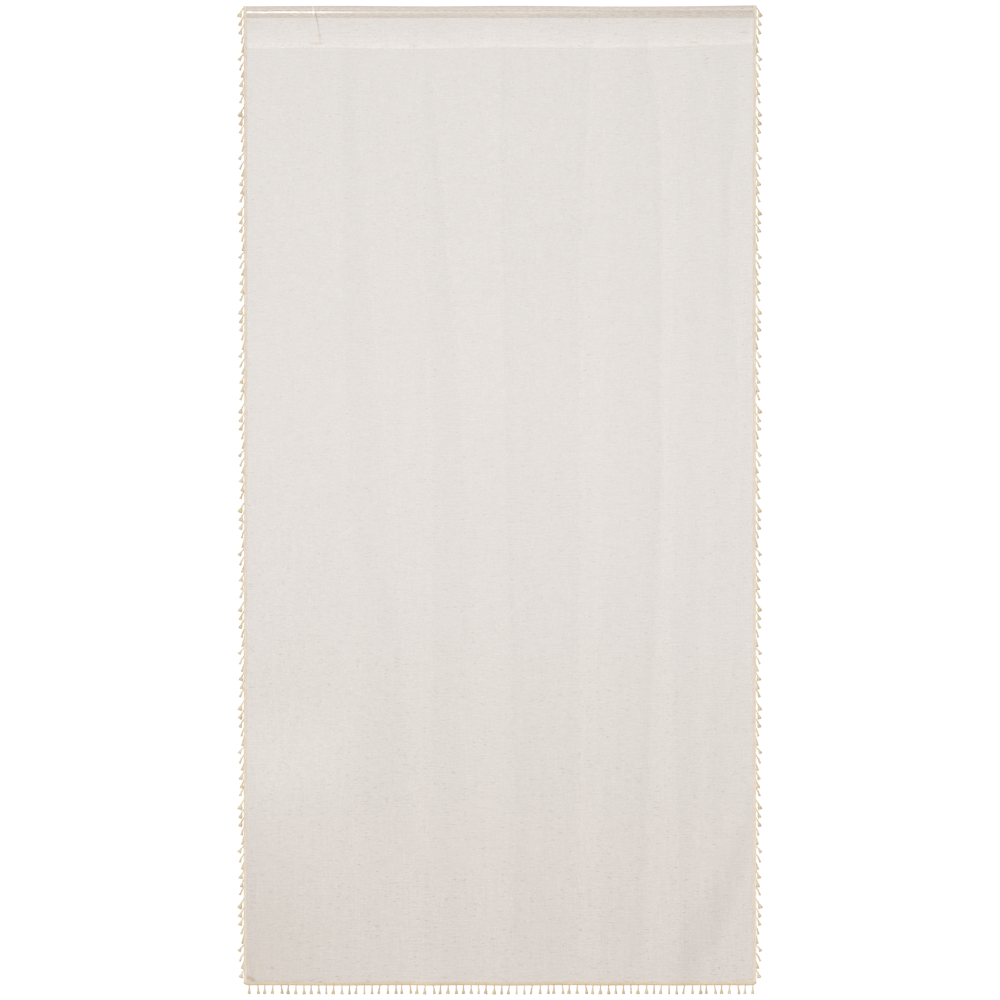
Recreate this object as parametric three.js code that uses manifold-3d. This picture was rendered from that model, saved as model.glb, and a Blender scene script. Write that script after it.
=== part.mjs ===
// A semi sheer curtain panel that hangs by its rod pocket from a plain round rod, with tassel trim down
// both sides and along the hem. Millimetres, +Z up, +X along the rod, front towards -Y.
// The origin is on the rod's axis at mid-length. A drop is a distance straight down from that axis.
import * as THREE from "three";
import { mergeVertices } from "three/addons/utils/BufferGeometryUtils.js";
import Module from "manifold-3d";

// Driving dimensions of the whole
const CURTAIN_WIDTH = 1270; // over both side tapes
const CURTAIN_DROP = 2411; // to the lower edge of the hem's tape
const PARTING = 0.3; // between neighbouring pieces

// Rod
const ROD_DIAMETER = 28;
const ROD_INSET = 3; // its ends stay this far inside the tapes' outer edges
const ROD_CHAMFER = 1.2;
const ROD_FACETS = 32;

// Cloth
const CLOTH_THICKNESS = 1.2;
const POCKET_CLEARANCE = 0.7; // from the rod to the corners of the cloth and tapes round it
const SEAM_DROP = 85; // the line of stitches that closes the pocket
const SEAM_RISE = 11; // how much higher that line ends at the right
const SEAM_TURNING = 8; // the doubled cloth below the stitches
const COLUMN_SPACING = 30; // at most, across the sheet
const LEAST_COLUMNS = 3; // from one fold line to the next
const ROW_SPACING = 190;
const ARC_STEPS = 8; // over the rod
const POCKET_STEPS = 3; // down each side of the pocket

// Trim: a woven tape with a tassel at every root
const TAPE_WIDTH = 7.4;
const TAPE_THICKNESS = 1.6;
const TAPE_CORNER = 6; // radius of the hem tape's lower corners
const CORNER_STEPS = 3;
const TASSEL_ROOT = 1.2; // how deep a tassel's cord starts inside the tape
const CORD_WIDTH = 1.3;
const HEAD_WIDTH = 3.4;
const STRAND_SIDES = 3;

const clothEdge = CURTAIN_WIDTH / 2 - TAPE_WIDTH - PARTING;
const clothDrop = CURTAIN_DROP - TAPE_WIDTH - PARTING;
const pocketRadius = ROD_DIAMETER / 2 + POCKET_CLEARANCE;
const seamBottom = SEAM_DROP + SEAM_TURNING;
const sheetRows = Math.round((clothDrop - seamBottom) / ROW_SPACING);

// The lines of the folds from left to right: troughs and crests by turns between the two edges.
// across is a line's distance from the middle and forward its height towards the viewer, each given
// at the four drops of FOLD_DROPS.
const FOLD_DROPS = [SEAM_DROP, 850, 1600, clothDrop];
const FOLD_LINES = [
  { name: "left edge", across: [-clothEdge, -627, -628, -clothEdge], forward: [0, 0.5, 1, 2] },
  { name: "left trough", across: [-590, -592, -596, -596], forward: [-0.5, -0.5, -1, -3] },
  { name: "left crest", across: [-400, -388, -350, -395], forward: [1, 2, 3, 5] },
  { name: "long trough", across: [-358, -318, -238, -226], forward: [-1.5, -3.5, -4, -5] },
  { name: "long crest", across: [-195, -168, -170, -168], forward: [1, 2, 2.5, 4] },
  { name: "inner trough", across: [-150, -113, -98, -82], forward: [-0.5, -2, -2.5, -4] },
  { name: "middle crest", across: [6, 13, 24, 22], forward: [1.5, 3, 4, 6] },
  { name: "wide trough", across: [222, 203, 200, 188], forward: [-2, -3, -3.5, -5.5] },
  { name: "low crest", across: [290, 268, 262, 253], forward: [1, 1.5, 2, 4] },
  { name: "sharp trough", across: [377, 399, 393, 363], forward: [-1.5, -2, -2.5, -4] },
  { name: "sharp crest", across: [450, 450, 430, 441], forward: [1, 2, 2.5, 4] },
  { name: "right trough", across: [505, 500, 495, 487], forward: [-0.5, -0.5, -0.5, -1] },
  { name: "right crest", across: [538, 535, 522, 515], forward: [0.5, 0.5, 0.5, 0] },
  { name: "leaning trough", across: [582, 576, 555, 545], forward: [-1, -1.5, -1.5, -3] },
  { name: "right edge", across: [clothEdge, 627, 627.5, clothEdge], forward: [0.5, 1, 0.5, 1.5] },
];

// One repeat of the side trim's tassels, from the top down. down is a root's distance below the start
// of the repeat, out and drop give the foot's place from its root, and skirt is the width at the foot.
const SIDE_START = -12; // the first root's drop, just above the rod's axis
const SIDE_REPEAT = 245.3;
const SIDE_LAST_DROP = 2375; // no root lies lower
const SIDE_TASSELS = [
  { down: 0, out: 10.4, drop: 25, skirt: 11 },
  { down: 22.8, out: 9.2, drop: 23.5, skirt: 9.5 },
  { down: 44.6, out: 9.2, drop: 22.5, skirt: 9.5 },
  { down: 67.4, out: 5.5, drop: 21.5, skirt: 5.5 },
  { down: 89.2, out: 3.4, drop: 23, skirt: 6 },
  { down: 114.7, out: 11.6, drop: 17, skirt: 9 },
  { down: 134.6, out: 9.9, drop: 21, skirt: 5 },
  { down: 154.6, out: 4.2, drop: 19, skirt: 7 },
  { down: 175.4, out: 7.9, drop: 21, skirt: 10.5 },
  { down: 195.3, out: 5.5, drop: 22, skirt: 8.5 },
  { down: 216.1, out: 9.2, drop: 21, skirt: 6 },
];

// One repeat of the hem trim's tassels, from the left. shift moves a root off the even pitch, lean moves
// the foot off its root, and skirt is the width at the foot.
const HEM_START = -621; // the first root's distance from the middle
const HEM_PITCH = 19.1;
const HEM_REPEAT = 377.4;
const HEM_TASSEL_DROP = 21.5;
const HEM_LAST_ACROSS = 628; // no root lies further right
const HEM_TASSELS = [
  { shift: 0, lean: -0.2, skirt: 7.5 },
  { shift: 1.2, lean: 2.7, skirt: 7.5 },
  { shift: 0, lean: -0.5, skirt: 9.5 },
  { shift: 0.9, lean: -1, skirt: 8.5 },
  { shift: 1.9, lean: 3, skirt: 7 },
  { shift: 1.4, lean: -1.7, skirt: 8 },
  { shift: 0.9, lean: -0.7, skirt: 9 },
  { shift: 1.3, lean: 0.7, skirt: 9 },
  { shift: 0.3, lean: 0, skirt: 7.5 },
  { shift: 0.3, lean: 0, skirt: 8 },
  { shift: -0.7, lean: 0.7, skirt: 5.5 },
  { shift: -0.5, lean: -1.5, skirt: 9.5 },
  { shift: 0.3, lean: 0, skirt: 9 },
  { shift: 0, lean: -0.7, skirt: 6.5 },
  { shift: -0.8, lean: -2.7, skirt: 8 },
  { shift: -1.3, lean: -0.2, skirt: 5 },
  { shift: -1.3, lean: -0.7, skirt: 7 },
  { shift: -0.8, lean: -3.7, skirt: 6 },
  { shift: -0.1, lean: -0.7, skirt: 7 },
  { shift: 0.4, lean: 0, skirt: 8.5 },
];

// The stations of a tassel from its root to its foot. out and drop are shares of the foot's distance
// from the root, and width is absolute, or the skirt's where there is none.
const TASSEL_PROFILE = [
  { out: 0, drop: 0, width: CORD_WIDTH },
  { out: 0.52, drop: 0.4, width: CORD_WIDTH },
  { out: 0.66, drop: 0.53, width: HEAD_WIDTH },
  { out: 1, drop: 1 },
];

const wasm = await Module();
wasm.setup();

// A smooth curve through the values that a fold line has at the drops of FOLD_DROPS.
function alongDrop(values) {
  const curve = new THREE.CubicInterpolant(FOLD_DROPS, values, 1);
  return (drop) => curve.evaluate(THREE.MathUtils.clamp(drop, SEAM_DROP, clothDrop))[0];
}

const foldLines = FOLD_LINES.map(({ across, forward }) => ({
  across: alongDrop(across),
  forward: alongDrop(forward),
}));

// A column of the sheet, the share u of the way from one fold line to the next. Across the sheet the
// surface swings from trough to crest along half a cosine wave.
function column(line, u) {
  const [left, right] = [foldLines[line], foldLines[Math.min(line + 1, foldLines.length - 1)]];
  const swing = (1 - Math.cos(Math.PI * u)) / 2;
  return {
    across: (drop) => THREE.MathUtils.lerp(left.across(drop), right.across(drop), u),
    forward: (drop) => THREE.MathUtils.lerp(left.forward(drop), right.forward(drop), swing),
  };
}

// All columns from the left edge to the right one, close enough that none is over COLUMN_SPACING wide
// at the seam, with LEAST_COLUMNS or more from a trough to a crest.
function allColumns() {
  const columns = [];
  for (let line = 0; line + 1 < foldLines.length; line++) {
    const gap = foldLines[line + 1].across(SEAM_DROP) - foldLines[line].across(SEAM_DROP);
    const steps = Math.max(LEAST_COLUMNS, Math.ceil(gap / COLUMN_SPACING));
    for (let i = 0; i < steps; i++) columns.push(column(line, i / steps));
  }
  columns.push(column(foldLines.length - 1, 0));
  return columns;
}

// The drop of the pocket's seam, which rises more and more towards the right end.
function seamAt(across) {
  return SEAM_DROP - SEAM_RISE * Math.max(0, across / clothEdge) ** 3;
}

// How far a layer round the rod lies in front of the axis at a drop: round the rod, then straight from
// where it leaves the rod to the seam, then 0. radius is that of the layer's middle.
function frontOfAxis(drop, radius, seam) {
  const leaves = radius ** 2 / seam;
  if (drop <= leaves) return Math.sqrt(Math.max(0, radius ** 2 - drop ** 2));
  const share = Math.min(1, (drop - leaves) / (seam - leaves));
  return Math.sqrt(radius ** 2 - leaves ** 2) * (1 - share);
}

// How much of the folds shows at a drop: none on the rod, all from the seam down.
function foldShare(drop, seam) {
  return THREE.MathUtils.smoothstep(drop, 0, seam);
}

// The solid between rings of equal length, laid one after another. edges joins corners of a ring, and
// endFaces closes the first ring and the last. Seen against the way of the rings, both turn left.
function loft(rings, edges, endFaces) {
  const size = rings[0].length;
  const index = [];
  for (let start = 0; start < (rings.length - 1) * size; start += size)
    for (const [a, b] of edges) {
      const [p, q] = [start + a, start + b];
      index.push(p, q, q + size, p, q + size, p + size);
    }
  const last = (rings.length - 1) * size;
  for (const [a, b, c] of endFaces) index.push(a, c, b, last + a, last + b, last + c);
  const geometry = new THREE.BufferGeometry().setFromPoints(rings.flat());
  geometry.setIndex(index);
  geometry.computeVertexNormals();
  return geometry;
}

// The edges of a closed ring of corners, the first of them numbered first.
function closedRing(count, first = 0) {
  return Array.from({ length: count }, (_, i) => [first + i, first + ((i + 1) % count)]);
}

// A solid with convex rings, closed at its ends by fans.
function convexLoft(rings) {
  const count = rings[0].length;
  const fan = Array.from({ length: count - 2 }, (_, i) => [0, i + 1, i + 2]);
  return loft(rings, closedRing(count), fan);
}

// The sheet's outline cut across at one column, as corners with their distance behind the rod's axis.
// The first loop is the outside, up the back and down the front, and the second is the pocket's hollow.
function sheetOutline(across) {
  const half = CLOTH_THICKNESS / 2;
  const seam = seamAt(across);
  const turning = seam + SEAM_TURNING;
  const lean = Math.asin((pocketRadius + half) / seam);
  const rowDrops = Array.from({ length: sheetRows }, (_, i) =>
    THREE.MathUtils.lerp(clothDrop, turning, i / sheetRows),
  );
  const arc = (radius) =>
    Array.from({ length: ARC_STEPS + 1 }, (_, i) => {
      const angle = THREE.MathUtils.lerp(-lean, Math.PI + lean, i / ARC_STEPS);
      return { behind: radius * Math.cos(angle), drop: -radius * Math.sin(angle), onRod: true };
    });
  const straight = (from, to) =>
    Array.from({ length: POCKET_STEPS - 1 }, (_, i) => {
      const share = (i + 1) / POCKET_STEPS;
      return {
        behind: THREE.MathUtils.lerp(from.behind, to.behind, share),
        drop: THREE.MathUtils.lerp(from.drop, to.drop, share),
      };
    });
  const side = (arcCorners, back, front) => [
    ...straight(back, arcCorners[0]),
    ...arcCorners,
    ...straight(arcCorners.at(-1), front),
  ];
  const seamBack = { behind: 3 * half, drop: seam };
  const seamFront = { behind: -half, drop: seam };
  const meeting = { behind: half, drop: seam };
  const outside = [
    ...rowDrops.map((drop) => ({ behind: half, drop })),
    { behind: half, drop: turning },
    { behind: 3 * half, drop: turning },
    seamBack,
    ...side(arc(pocketRadius + CLOTH_THICKNESS), seamBack, seamFront),
    seamFront,
    { behind: -half, drop: turning },
    ...rowDrops.toReversed().map((drop) => ({ behind: -half, drop })),
  ];
  const hollow = [meeting, ...side(arc(pocketRadius), meeting, meeting)].toReversed();
  return { outside, hollow, seam };
}

// The faces that fill the outline, between corners that lie across from each other: the single layer,
// the doubled cloth below the seam, and the layer round the hollow.
function outlineFaces(outsideCount, hollowCount) {
  const last = outsideCount - 1;
  const seamBack = sheetRows + 2;
  const inner = (i) => outsideCount + ((2 * hollowCount - 1 - i) % hollowCount);
  const quads = [
    [sheetRows, sheetRows + 1, seamBack, inner(0)],
    [last - sheetRows, sheetRows, inner(0), last - sheetRows - 1],
  ];
  for (let i = 0; i < sheetRows; i++) quads.push([i, i + 1, last - i - 1, last - i]);
  for (let i = 0; i < hollowCount; i++)
    quads.push([seamBack + i, seamBack + i + 1, inner(i + 1), inner(i)]);
  return quads.flatMap(([a, b, c, d]) => [
    [a, b, c],
    [a, c, d],
  ]);
}

// The cloth: one sheet over the rod, sewn to itself at the seam.
function panelGeometry() {
  const rings = allColumns().map(({ across, forward }) => {
    const { outside, hollow, seam } = sheetOutline(across(SEAM_DROP));
    return [...outside, ...hollow].map(({ behind, drop, onRod }) => {
      const folds = onRod ? 0 : foldShare(drop, seam) * forward(drop);
      return new THREE.Vector3(across(drop), behind - folds, -drop);
    });
  });
  const { outside, hollow } = sheetOutline(-clothEdge);
  const edges = [...closedRing(outside.length), ...closedRing(hollow.length, outside.length)];
  return loft(rings, edges, outlineFaces(outside.length, hollow.length));
}

// A place on the middle of a side tape, which goes down with the sheet's front layer from the rod's top.
function sideTapeCentre(edge, drop) {
  const across = edge.across(drop);
  const seam = seamAt(across);
  const folds = foldShare(drop, seam) * edge.forward(drop);
  const front = frontOfAxis(drop, pocketRadius + TAPE_THICKNESS / 2, seam);
  return new THREE.Vector3(across, -front - folds, -drop);
}

// The tape down one side, beside the sheet's edge. side is -1 at the left and 1 at the right.
function sideTape(edge, side) {
  const radius = pocketRadius + TAPE_THICKNESS / 2;
  const evenly = (steps, at) => Array.from({ length: steps }, (_, i) => at((i + 1) / steps));
  const drops = [
    -radius,
    ...evenly(ARC_STEPS / 2, (share) => -radius * Math.cos((share * Math.PI) / 2)),
    ...evenly(POCKET_STEPS, (share) => share * SEAM_DROP),
    seamBottom,
    ...evenly(sheetRows, (share) => THREE.MathUtils.lerp(seamBottom, clothDrop, share)),
  ];
  const centres = drops.map((drop) => sideTapeCentre(edge, drop));
  const rings = centres.map((centre, i) => {
    const way = centres[Math.min(i + 1, centres.length - 1)].clone().sub(centres[Math.max(i - 1, 0)]);
    const facing = new THREE.Vector3(0, way.z, -way.y).normalize();
    if (i === 0) facing.set(0, 0, 1);
    const corner = (distance, depth) =>
      centre
        .clone()
        .add(new THREE.Vector3(side * (PARTING + distance), 0, 0))
        .addScaledVector(facing, (depth * TAPE_THICKNESS) / 2);
    const ring = [corner(0, 1), corner(TAPE_WIDTH, 1), corner(TAPE_WIDTH, -1), corner(0, -1)];
    return side < 0 ? ring : ring.toReversed();
  });
  return convexLoft(rings);
}

// A thread tassel as one strand: a cord out of the tape, its head, and the skirt that opens to the foot.
// It starts at a place across and at a drop, and its foot lies out and down from there. depthAt gives
// its middle's distance behind the axis at a drop. One corner of each ring faces the front.
function tassel(across, drop, out, down, skirt, depthAt) {
  const stations = TASSEL_PROFILE.map((station) => {
    const at = drop + station.drop * down;
    return {
      centre: new THREE.Vector3(across + station.out * out, depthAt(at), -at),
      width: station.width ?? skirt,
    };
  });
  const front = new THREE.Vector3(0, -1, 0);
  const rings = stations.map(({ centre, width }, i) => {
    const next = stations[Math.min(i + 1, stations.length - 1)].centre;
    const previous = stations[Math.max(i - 1, 0)].centre;
    const sideways = next.clone().sub(previous).cross(front).normalize();
    const radius = width / 2 / Math.sin((2 * Math.PI) / STRAND_SIDES);
    return Array.from({ length: STRAND_SIDES }, (_, corner) => {
      const angle = (corner * 2 * Math.PI) / STRAND_SIDES;
      return centre
        .clone()
        .addScaledVector(front, radius * Math.cos(angle))
        .addScaledVector(sideways, radius * Math.sin(angle));
    });
  });
  return convexLoft(rings);
}

// A geometry as a solid that can be joined.
function toSolid(geometry) {
  const bare = geometry.clone();
  bare.deleteAttribute("normal");
  const merged = mergeVertices(bare);
  return new wasm.Manifold(
    new wasm.Mesh({
      numProp: 3,
      vertProperties: new Float32Array(merged.attributes.position.array),
      triVerts: new Uint32Array(merged.index.array),
    }),
  );
}

// A tape with its tassels fused to it by their roots.
function fuse(tape, tassels) {
  const solid = tassels.reduce((joined, one) => joined.add(toSolid(one)), toSolid(tape));
  const mesh = solid.getMesh();
  const geometry = new THREE.BufferGeometry();
  geometry.setAttribute("position", new THREE.BufferAttribute(mesh.vertProperties, 3));
  geometry.setIndex(new THREE.BufferAttribute(mesh.triVerts, 1));
  geometry.computeVertexNormals();
  return geometry;
}

// The trim down one side. Its tassels lean outwards, and the two sides mirror each other.
function sideTrimGeometry(edge, side) {
  const tassels = [];
  for (let start = SIDE_START; start < SIDE_LAST_DROP; start += SIDE_REPEAT)
    for (const { down, out, drop, skirt } of SIDE_TASSELS) {
      const root = start + down;
      if (root > SIDE_LAST_DROP) break;
      const across = edge.across(root) + side * (PARTING + TAPE_WIDTH - TASSEL_ROOT);
      const reach = side * (out + TASSEL_ROOT);
      const depthAt = (place) => sideTapeCentre(edge, place).y;
      tassels.push(tassel(across, root, reach, drop, skirt, depthAt));
    }
  return fuse(sideTape(edge, side), tassels);
}

// How much the hem tape's lower edge rises at its rounded corners.
function cornerRise(across) {
  const past = Math.abs(across) - (CURTAIN_WIDTH / 2 - TAPE_CORNER);
  return past > 0 ? TAPE_CORNER - Math.sqrt(Math.max(0, TAPE_CORNER ** 2 - past ** 2)) : 0;
}

// The places across and forward where the hem's tape has a station, on out to its rounded corners.
function hemStations() {
  const columns = allColumns();
  const inner = columns.map(({ across, forward }) => [across(clothDrop), forward(clothDrop)]);
  const corner = (edge, side) =>
    Array.from({ length: CORNER_STEPS + 1 }, (_, i) => {
      const share = Math.sin(((i / CORNER_STEPS) * Math.PI) / 2);
      return [side * (CURTAIN_WIDTH / 2 - TAPE_CORNER * (1 - share)), edge.forward(clothDrop)];
    });
  return [
    ...corner(columns[0], -1).toReversed(),
    ...inner.slice(1, -1),
    ...corner(columns.at(-1), 1),
  ];
}

// The trim along the hem. Its tassels hang straight down.
function hemTrimGeometry() {
  const stations = hemStations();
  const top = clothDrop + PARTING;
  const rings = stations.map(([across, forward]) => {
    const bottom = CURTAIN_DROP - cornerRise(across);
    const corner = (drop, depth) =>
      new THREE.Vector3(across, -forward - (depth * TAPE_THICKNESS) / 2, -drop);
    return [corner(top, 1), corner(bottom, 1), corner(bottom, -1), corner(top, -1)];
  });
  const forwardAt = (across) => {
    const next = stations.findIndex(([place]) => place > across);
    const [[a, low], [b, high]] = [stations[next - 1], stations[next]];
    return THREE.MathUtils.mapLinear(across, a, b, low, high);
  };
  const tassels = [];
  for (let start = HEM_START; start < HEM_LAST_ACROSS; start += HEM_REPEAT)
    HEM_TASSELS.forEach(({ shift, lean, skirt }, i) => {
      const across = start + i * HEM_PITCH + shift;
      if (across > HEM_LAST_ACROSS) return;
      const root = CURTAIN_DROP - TASSEL_ROOT;
      const down = HEM_TASSEL_DROP + TASSEL_ROOT;
      tassels.push(tassel(across, root, lean, down, skirt, () => -forwardAt(across)));
    });
  return fuse(convexLoft(rings), tassels);
}

// The rod: a round bar along X with its end edges chamfered.
function rodGeometry() {
  const radius = ROD_DIAMETER / 2;
  const end = CURTAIN_WIDTH / 2 - ROD_INSET;
  const profile = [
    new THREE.Vector2(0, -end),
    new THREE.Vector2(radius - ROD_CHAMFER, -end),
    new THREE.Vector2(radius, -end + ROD_CHAMFER),
    new THREE.Vector2(radius, end - ROD_CHAMFER),
    new THREE.Vector2(radius - ROD_CHAMFER, end),
    new THREE.Vector2(0, end),
  ];
  return new THREE.LatheGeometry(profile, ROD_FACETS).rotateZ(-Math.PI / 2);
}

function piece(name, geometry, color, roughness, metalness = 0) {
  const mesh = new THREE.Mesh(
    geometry,
    new THREE.MeshStandardMaterial({ color, roughness, metalness }),
  );
  mesh.name = name;
  return mesh;
}

const [leftEdge, rightEdge] = [foldLines[0], foldLines.at(-1)];
const curtain = new THREE.Group();
curtain.add(
  piece("panel", panelGeometry(), 0xe4e0dc, 0.9),
  piece("rod", rodGeometry(), 0xb39d85, 0.3, 0.9),
  piece("trim_left", sideTrimGeometry(leftEdge, -1), 0xe3cfa6, 0.85),
  piece("trim_right", sideTrimGeometry(rightEdge, 1), 0xe3cfa6, 0.85),
  piece("trim_bottom", hemTrimGeometry(), 0xdac296, 0.85),
);

export default curtain;
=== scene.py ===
# A semi sheer curtain panel on its rod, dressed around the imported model.
# Metres, +Z up, +X to the right along the rod, the front towards -Y, the origin on the rod's axis.
# The sizes in the dictionaries are millimetres, and a drop is a distance straight down from that axis.
import bmesh
import bpy
import numpy as np
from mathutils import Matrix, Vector


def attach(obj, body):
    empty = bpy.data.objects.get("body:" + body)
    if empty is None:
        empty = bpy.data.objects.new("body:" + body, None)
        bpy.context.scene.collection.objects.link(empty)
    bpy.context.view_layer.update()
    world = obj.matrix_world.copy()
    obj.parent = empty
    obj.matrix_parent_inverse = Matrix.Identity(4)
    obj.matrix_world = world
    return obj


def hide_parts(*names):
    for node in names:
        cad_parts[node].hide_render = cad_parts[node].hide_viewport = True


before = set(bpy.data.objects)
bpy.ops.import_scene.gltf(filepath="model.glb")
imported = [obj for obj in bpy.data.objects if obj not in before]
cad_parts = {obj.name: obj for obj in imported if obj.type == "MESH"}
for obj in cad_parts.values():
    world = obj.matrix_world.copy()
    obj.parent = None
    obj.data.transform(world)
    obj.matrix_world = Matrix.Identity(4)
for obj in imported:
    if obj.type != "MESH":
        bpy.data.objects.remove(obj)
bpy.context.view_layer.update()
mm = 0.001
print("frame loaded:", sorted(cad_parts))


# Meshes

def gridFaces(rows, columns, closed=False):
    # Quads of a grid numbered row by row. A closed grid joins its last column to its first.
    row = np.arange(rows - 1)[:, None]
    column = np.arange(columns if closed else columns - 1)[None, :]
    here = row * columns + column
    beside = row * columns + (column + 1) % columns
    return np.stack([here, beside, beside + columns, here + columns], axis=-1).reshape(-1, 4)


def gridLoops(across, down):
    # The two pattern coordinates at each corner of each quad of that grid. across has one value for each
    # column or for each point, and one column more where the grid is closed, so a pattern doesn't run
    # back over the last quad.
    table = np.stack(np.broadcast_arrays(across, np.asarray(down)[:, None]), axis=-1)
    corners = [table[:-1, :-1], table[:-1, 1:], table[1:, 1:], table[1:, :-1]]
    return np.stack(corners, axis=2).reshape(-1, 2)


def repeated(faces, count, step):
    # The same faces for each of many like shapes, which have step points each.
    return (faces[None] + (np.arange(count) * step)[:, None, None]).reshape(-1, faces.shape[1])


def cappedTubes(rings, lengths):
    # The faces and pattern coordinates of tubes with flat ends. rings has a row of rings for each tube,
    # and lengths gives each ring's place along it.
    count, stations, sides = rings.shape[:3]
    side = np.arange(sides)
    ends = np.stack([side[::-1], side + (stations - 1) * sides])
    parts = (gridFaces(stations, sides, closed=True), ends)
    loops = gridLoops(np.linspace(0, 1, sides + 1), lengths)
    return (
        [repeated(part, count, stations * sides) for part in parts],
        [np.tile(loops, (count, 1)), np.zeros((2 * count * sides, 2))],
    )


def pointedTube(rings, poles, lengths):
    # The points, faces and pattern coordinates of one tube that a point closes at each end.
    stations, sides = rings.shape[:2]
    side, pole, base = np.arange(sides), np.full(sides, stations * sides), (stations - 1) * sides
    beside = (side + 1) % sides
    startCap = np.stack([beside, side, pole], axis=-1)
    endCap = np.stack([side + base, beside + base, pole + 1], axis=-1)
    return (
        np.concatenate([rings.reshape(-1, 3), poles]),
        [gridFaces(stations, sides, closed=True), startCap, endCap],
        [gridLoops(np.linspace(0, 1, sides + 1), lengths), np.zeros((6 * sides, 2))],
    )


def ringFrames(path):
    # At each station the way along the path, the direction across it that is nearest to straight
    # forward, and the one at right angles to both.
    way = np.gradient(path, axis=-2)
    way /= np.linalg.norm(way, axis=-1, keepdims=True)
    front = np.array([0, -1, 0]) - way * -way[..., 1:2]
    front /= np.linalg.norm(front, axis=-1, keepdims=True)
    return way, front, np.cross(way, front)


def addObject(name, data):
    thing = bpy.data.objects.new(name, data)
    bpy.context.scene.collection.objects.link(thing)
    return thing


def makePiece(name, points, faces, loops, material, node=None, marks=None, turned=True):
    # A mesh in metres from points in millimetres as x, distance behind the axis, and drop. Where turned
    # is set it is closed, and its faces are turned outwards.
    places = np.asarray(points, float).reshape(-1, 3) * [mm, mm, -mm]
    mesh = bpy.data.meshes.new(name)
    mesh.from_pydata(places.tolist(), [], [face for part in faces for face in part.tolist()])
    layer = mesh.uv_layers.new(name="cut")
    layer.data.foreach_set("uv", np.concatenate(loops).astype(np.float32).ravel())
    for mark, values in (marks or {}).items():
        attribute = mesh.attributes.new(mark, "FLOAT", "POINT")
        attribute.data.foreach_set("value", np.asarray(values, np.float32).ravel())
    mesh.shade_smooth()
    mesh.materials.append(material)
    mesh.validate()
    if turned:
        body = bmesh.new()
        body.from_mesh(mesh)
        bmesh.ops.recalc_face_normals(body, faces=body.faces)
        body.to_mesh(mesh)
        body.free()
    piece = addObject(name, mesh)
    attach(piece, "root")
    if node:
        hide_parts(node)
    return piece


def smoothStep(value, low, high):
    # 0 below low, 1 above high, and the cubic 3 t t - 2 t t t of the share t between them.
    share = np.clip((value - low) / (high - low), 0, 1)
    return share * share * (3 - 2 * share)


def curveThrough(places, values, at):
    # A cubic between each two places. The slope at a place is that of the chord past its neighbours,
    # and it runs out without curvature at both ends.
    places, values = np.asarray(places, float), np.asarray(values, float)
    chord = np.diff(values) / np.diff(places)
    slope = np.empty_like(values)
    slope[1:-1] = (values[2:] - values[:-2]) / (places[2:] - places[:-2])
    slope[0] = 1.5 * chord[0] - 0.5 * slope[1]
    slope[-1] = 1.5 * chord[-1] - 0.5 * slope[-2]
    at = np.clip(at, places[0], places[-1])
    left = np.clip(np.searchsorted(places, at, side="right") - 1, 0, len(places) - 2)
    span = places[left + 1] - places[left]
    share = (at - places[left]) / span
    rest = 1 - share
    return (
        values[left] * (1 + 2 * share) * rest * rest
        + values[left + 1] * (3 - 2 * share) * share * share
        + span * share * rest * (slope[left] * rest - slope[left + 1] * share)
    )


def shares(count):
    # Even steps from 0 to 1, one to a row and without the 0.
    return np.linspace(0, 1, count + 1)[1:, None]


def distanceAlong(path):
    # The distance along a path at each of its stations.
    return np.concatenate([[0], np.cumsum(np.linalg.norm(np.diff(path, axis=0), axis=1))])


# Shader nodes

def feed(value, socket):
    # Links another socket to this one, or sets it to a constant.
    if isinstance(value, bpy.types.NodeSocket):
        socket.id_data.links.new(value, socket)
    else:
        socket.default_value = value


def addNode(kind, values=None, tree=None, **settings):
    # A node in the given tree, or in that of the first socket that feeds it.
    values = values or {}
    if tree is None:
        tree = next(value.id_data for value in values.values() if isinstance(value, bpy.types.NodeSocket))
    node = tree.nodes.new(kind)
    for key, value in settings.items():
        setattr(node, key, value)
    for key, value in values.items():
        feed(value, node.inputs[key])
    return node


def combine(operation, first, second=0.0):
    # One sum, product or the like of two sockets or numbers.
    return addNode("ShaderNodeMath", {0: first, 1: second}, operation=operation).outputs[0]


def plus(total, *others):
    for other in others:
        total = combine("ADD", total, other)
    return total


def times(first, second):
    return combine("MULTIPLY", first, second)


def mapRange(value, fromMin, fromMax, toMin, toMax, smooth=False):
    kind = "SMOOTHSTEP" if smooth else "LINEAR"
    values = {"Value": value, "From Min": fromMin, "From Max": fromMax, "To Min": toMin, "To Max": toMax}
    return addNode("ShaderNodeMapRange", values, interpolation_type=kind).outputs[0]


def clamped(value):
    return addNode("ShaderNodeClamp", {"Value": value}).outputs[0]


def vectorMath(operation, values):
    return addNode("ShaderNodeVectorMath", values, operation=operation).outputs


def stretched(vector, scale):
    # The coordinates in metres, scaled so that one unit is one feature of a pattern.
    return addNode("ShaderNodeMapping", {"Vector": vector, "Scale": scale}).outputs[0]


def noise(vector, scale, detail=1.0, roughness=0.5):
    # A noise from 0 to 1. scale is how many of its features lie in a metre along each axis.
    values = {"Vector": stretched(vector, scale), "Scale": 1.0, "Detail": detail, "Roughness": roughness}
    return addNode("ShaderNodeTexNoise", values).outputs[0]


def swayed(vector, scale, reach):
    # The coordinates moved up and down by a slow noise, so that the yarns don't run dead straight.
    lift = mapRange(noise(vector, (scale, scale, 1)), 0, 1, -reach, reach)
    shift = addNode("ShaderNodeCombineXYZ", {"Y": lift}).outputs[0]
    return vectorMath("ADD", {0: vector, 1: shift})[0]


def mixColors(share, first, second, blend="MIX"):
    values = {0: share, 6: first, 7: second}
    return addNode("ShaderNodeMix", values, data_type="RGBA", blend_type=blend).outputs[2]


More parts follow.
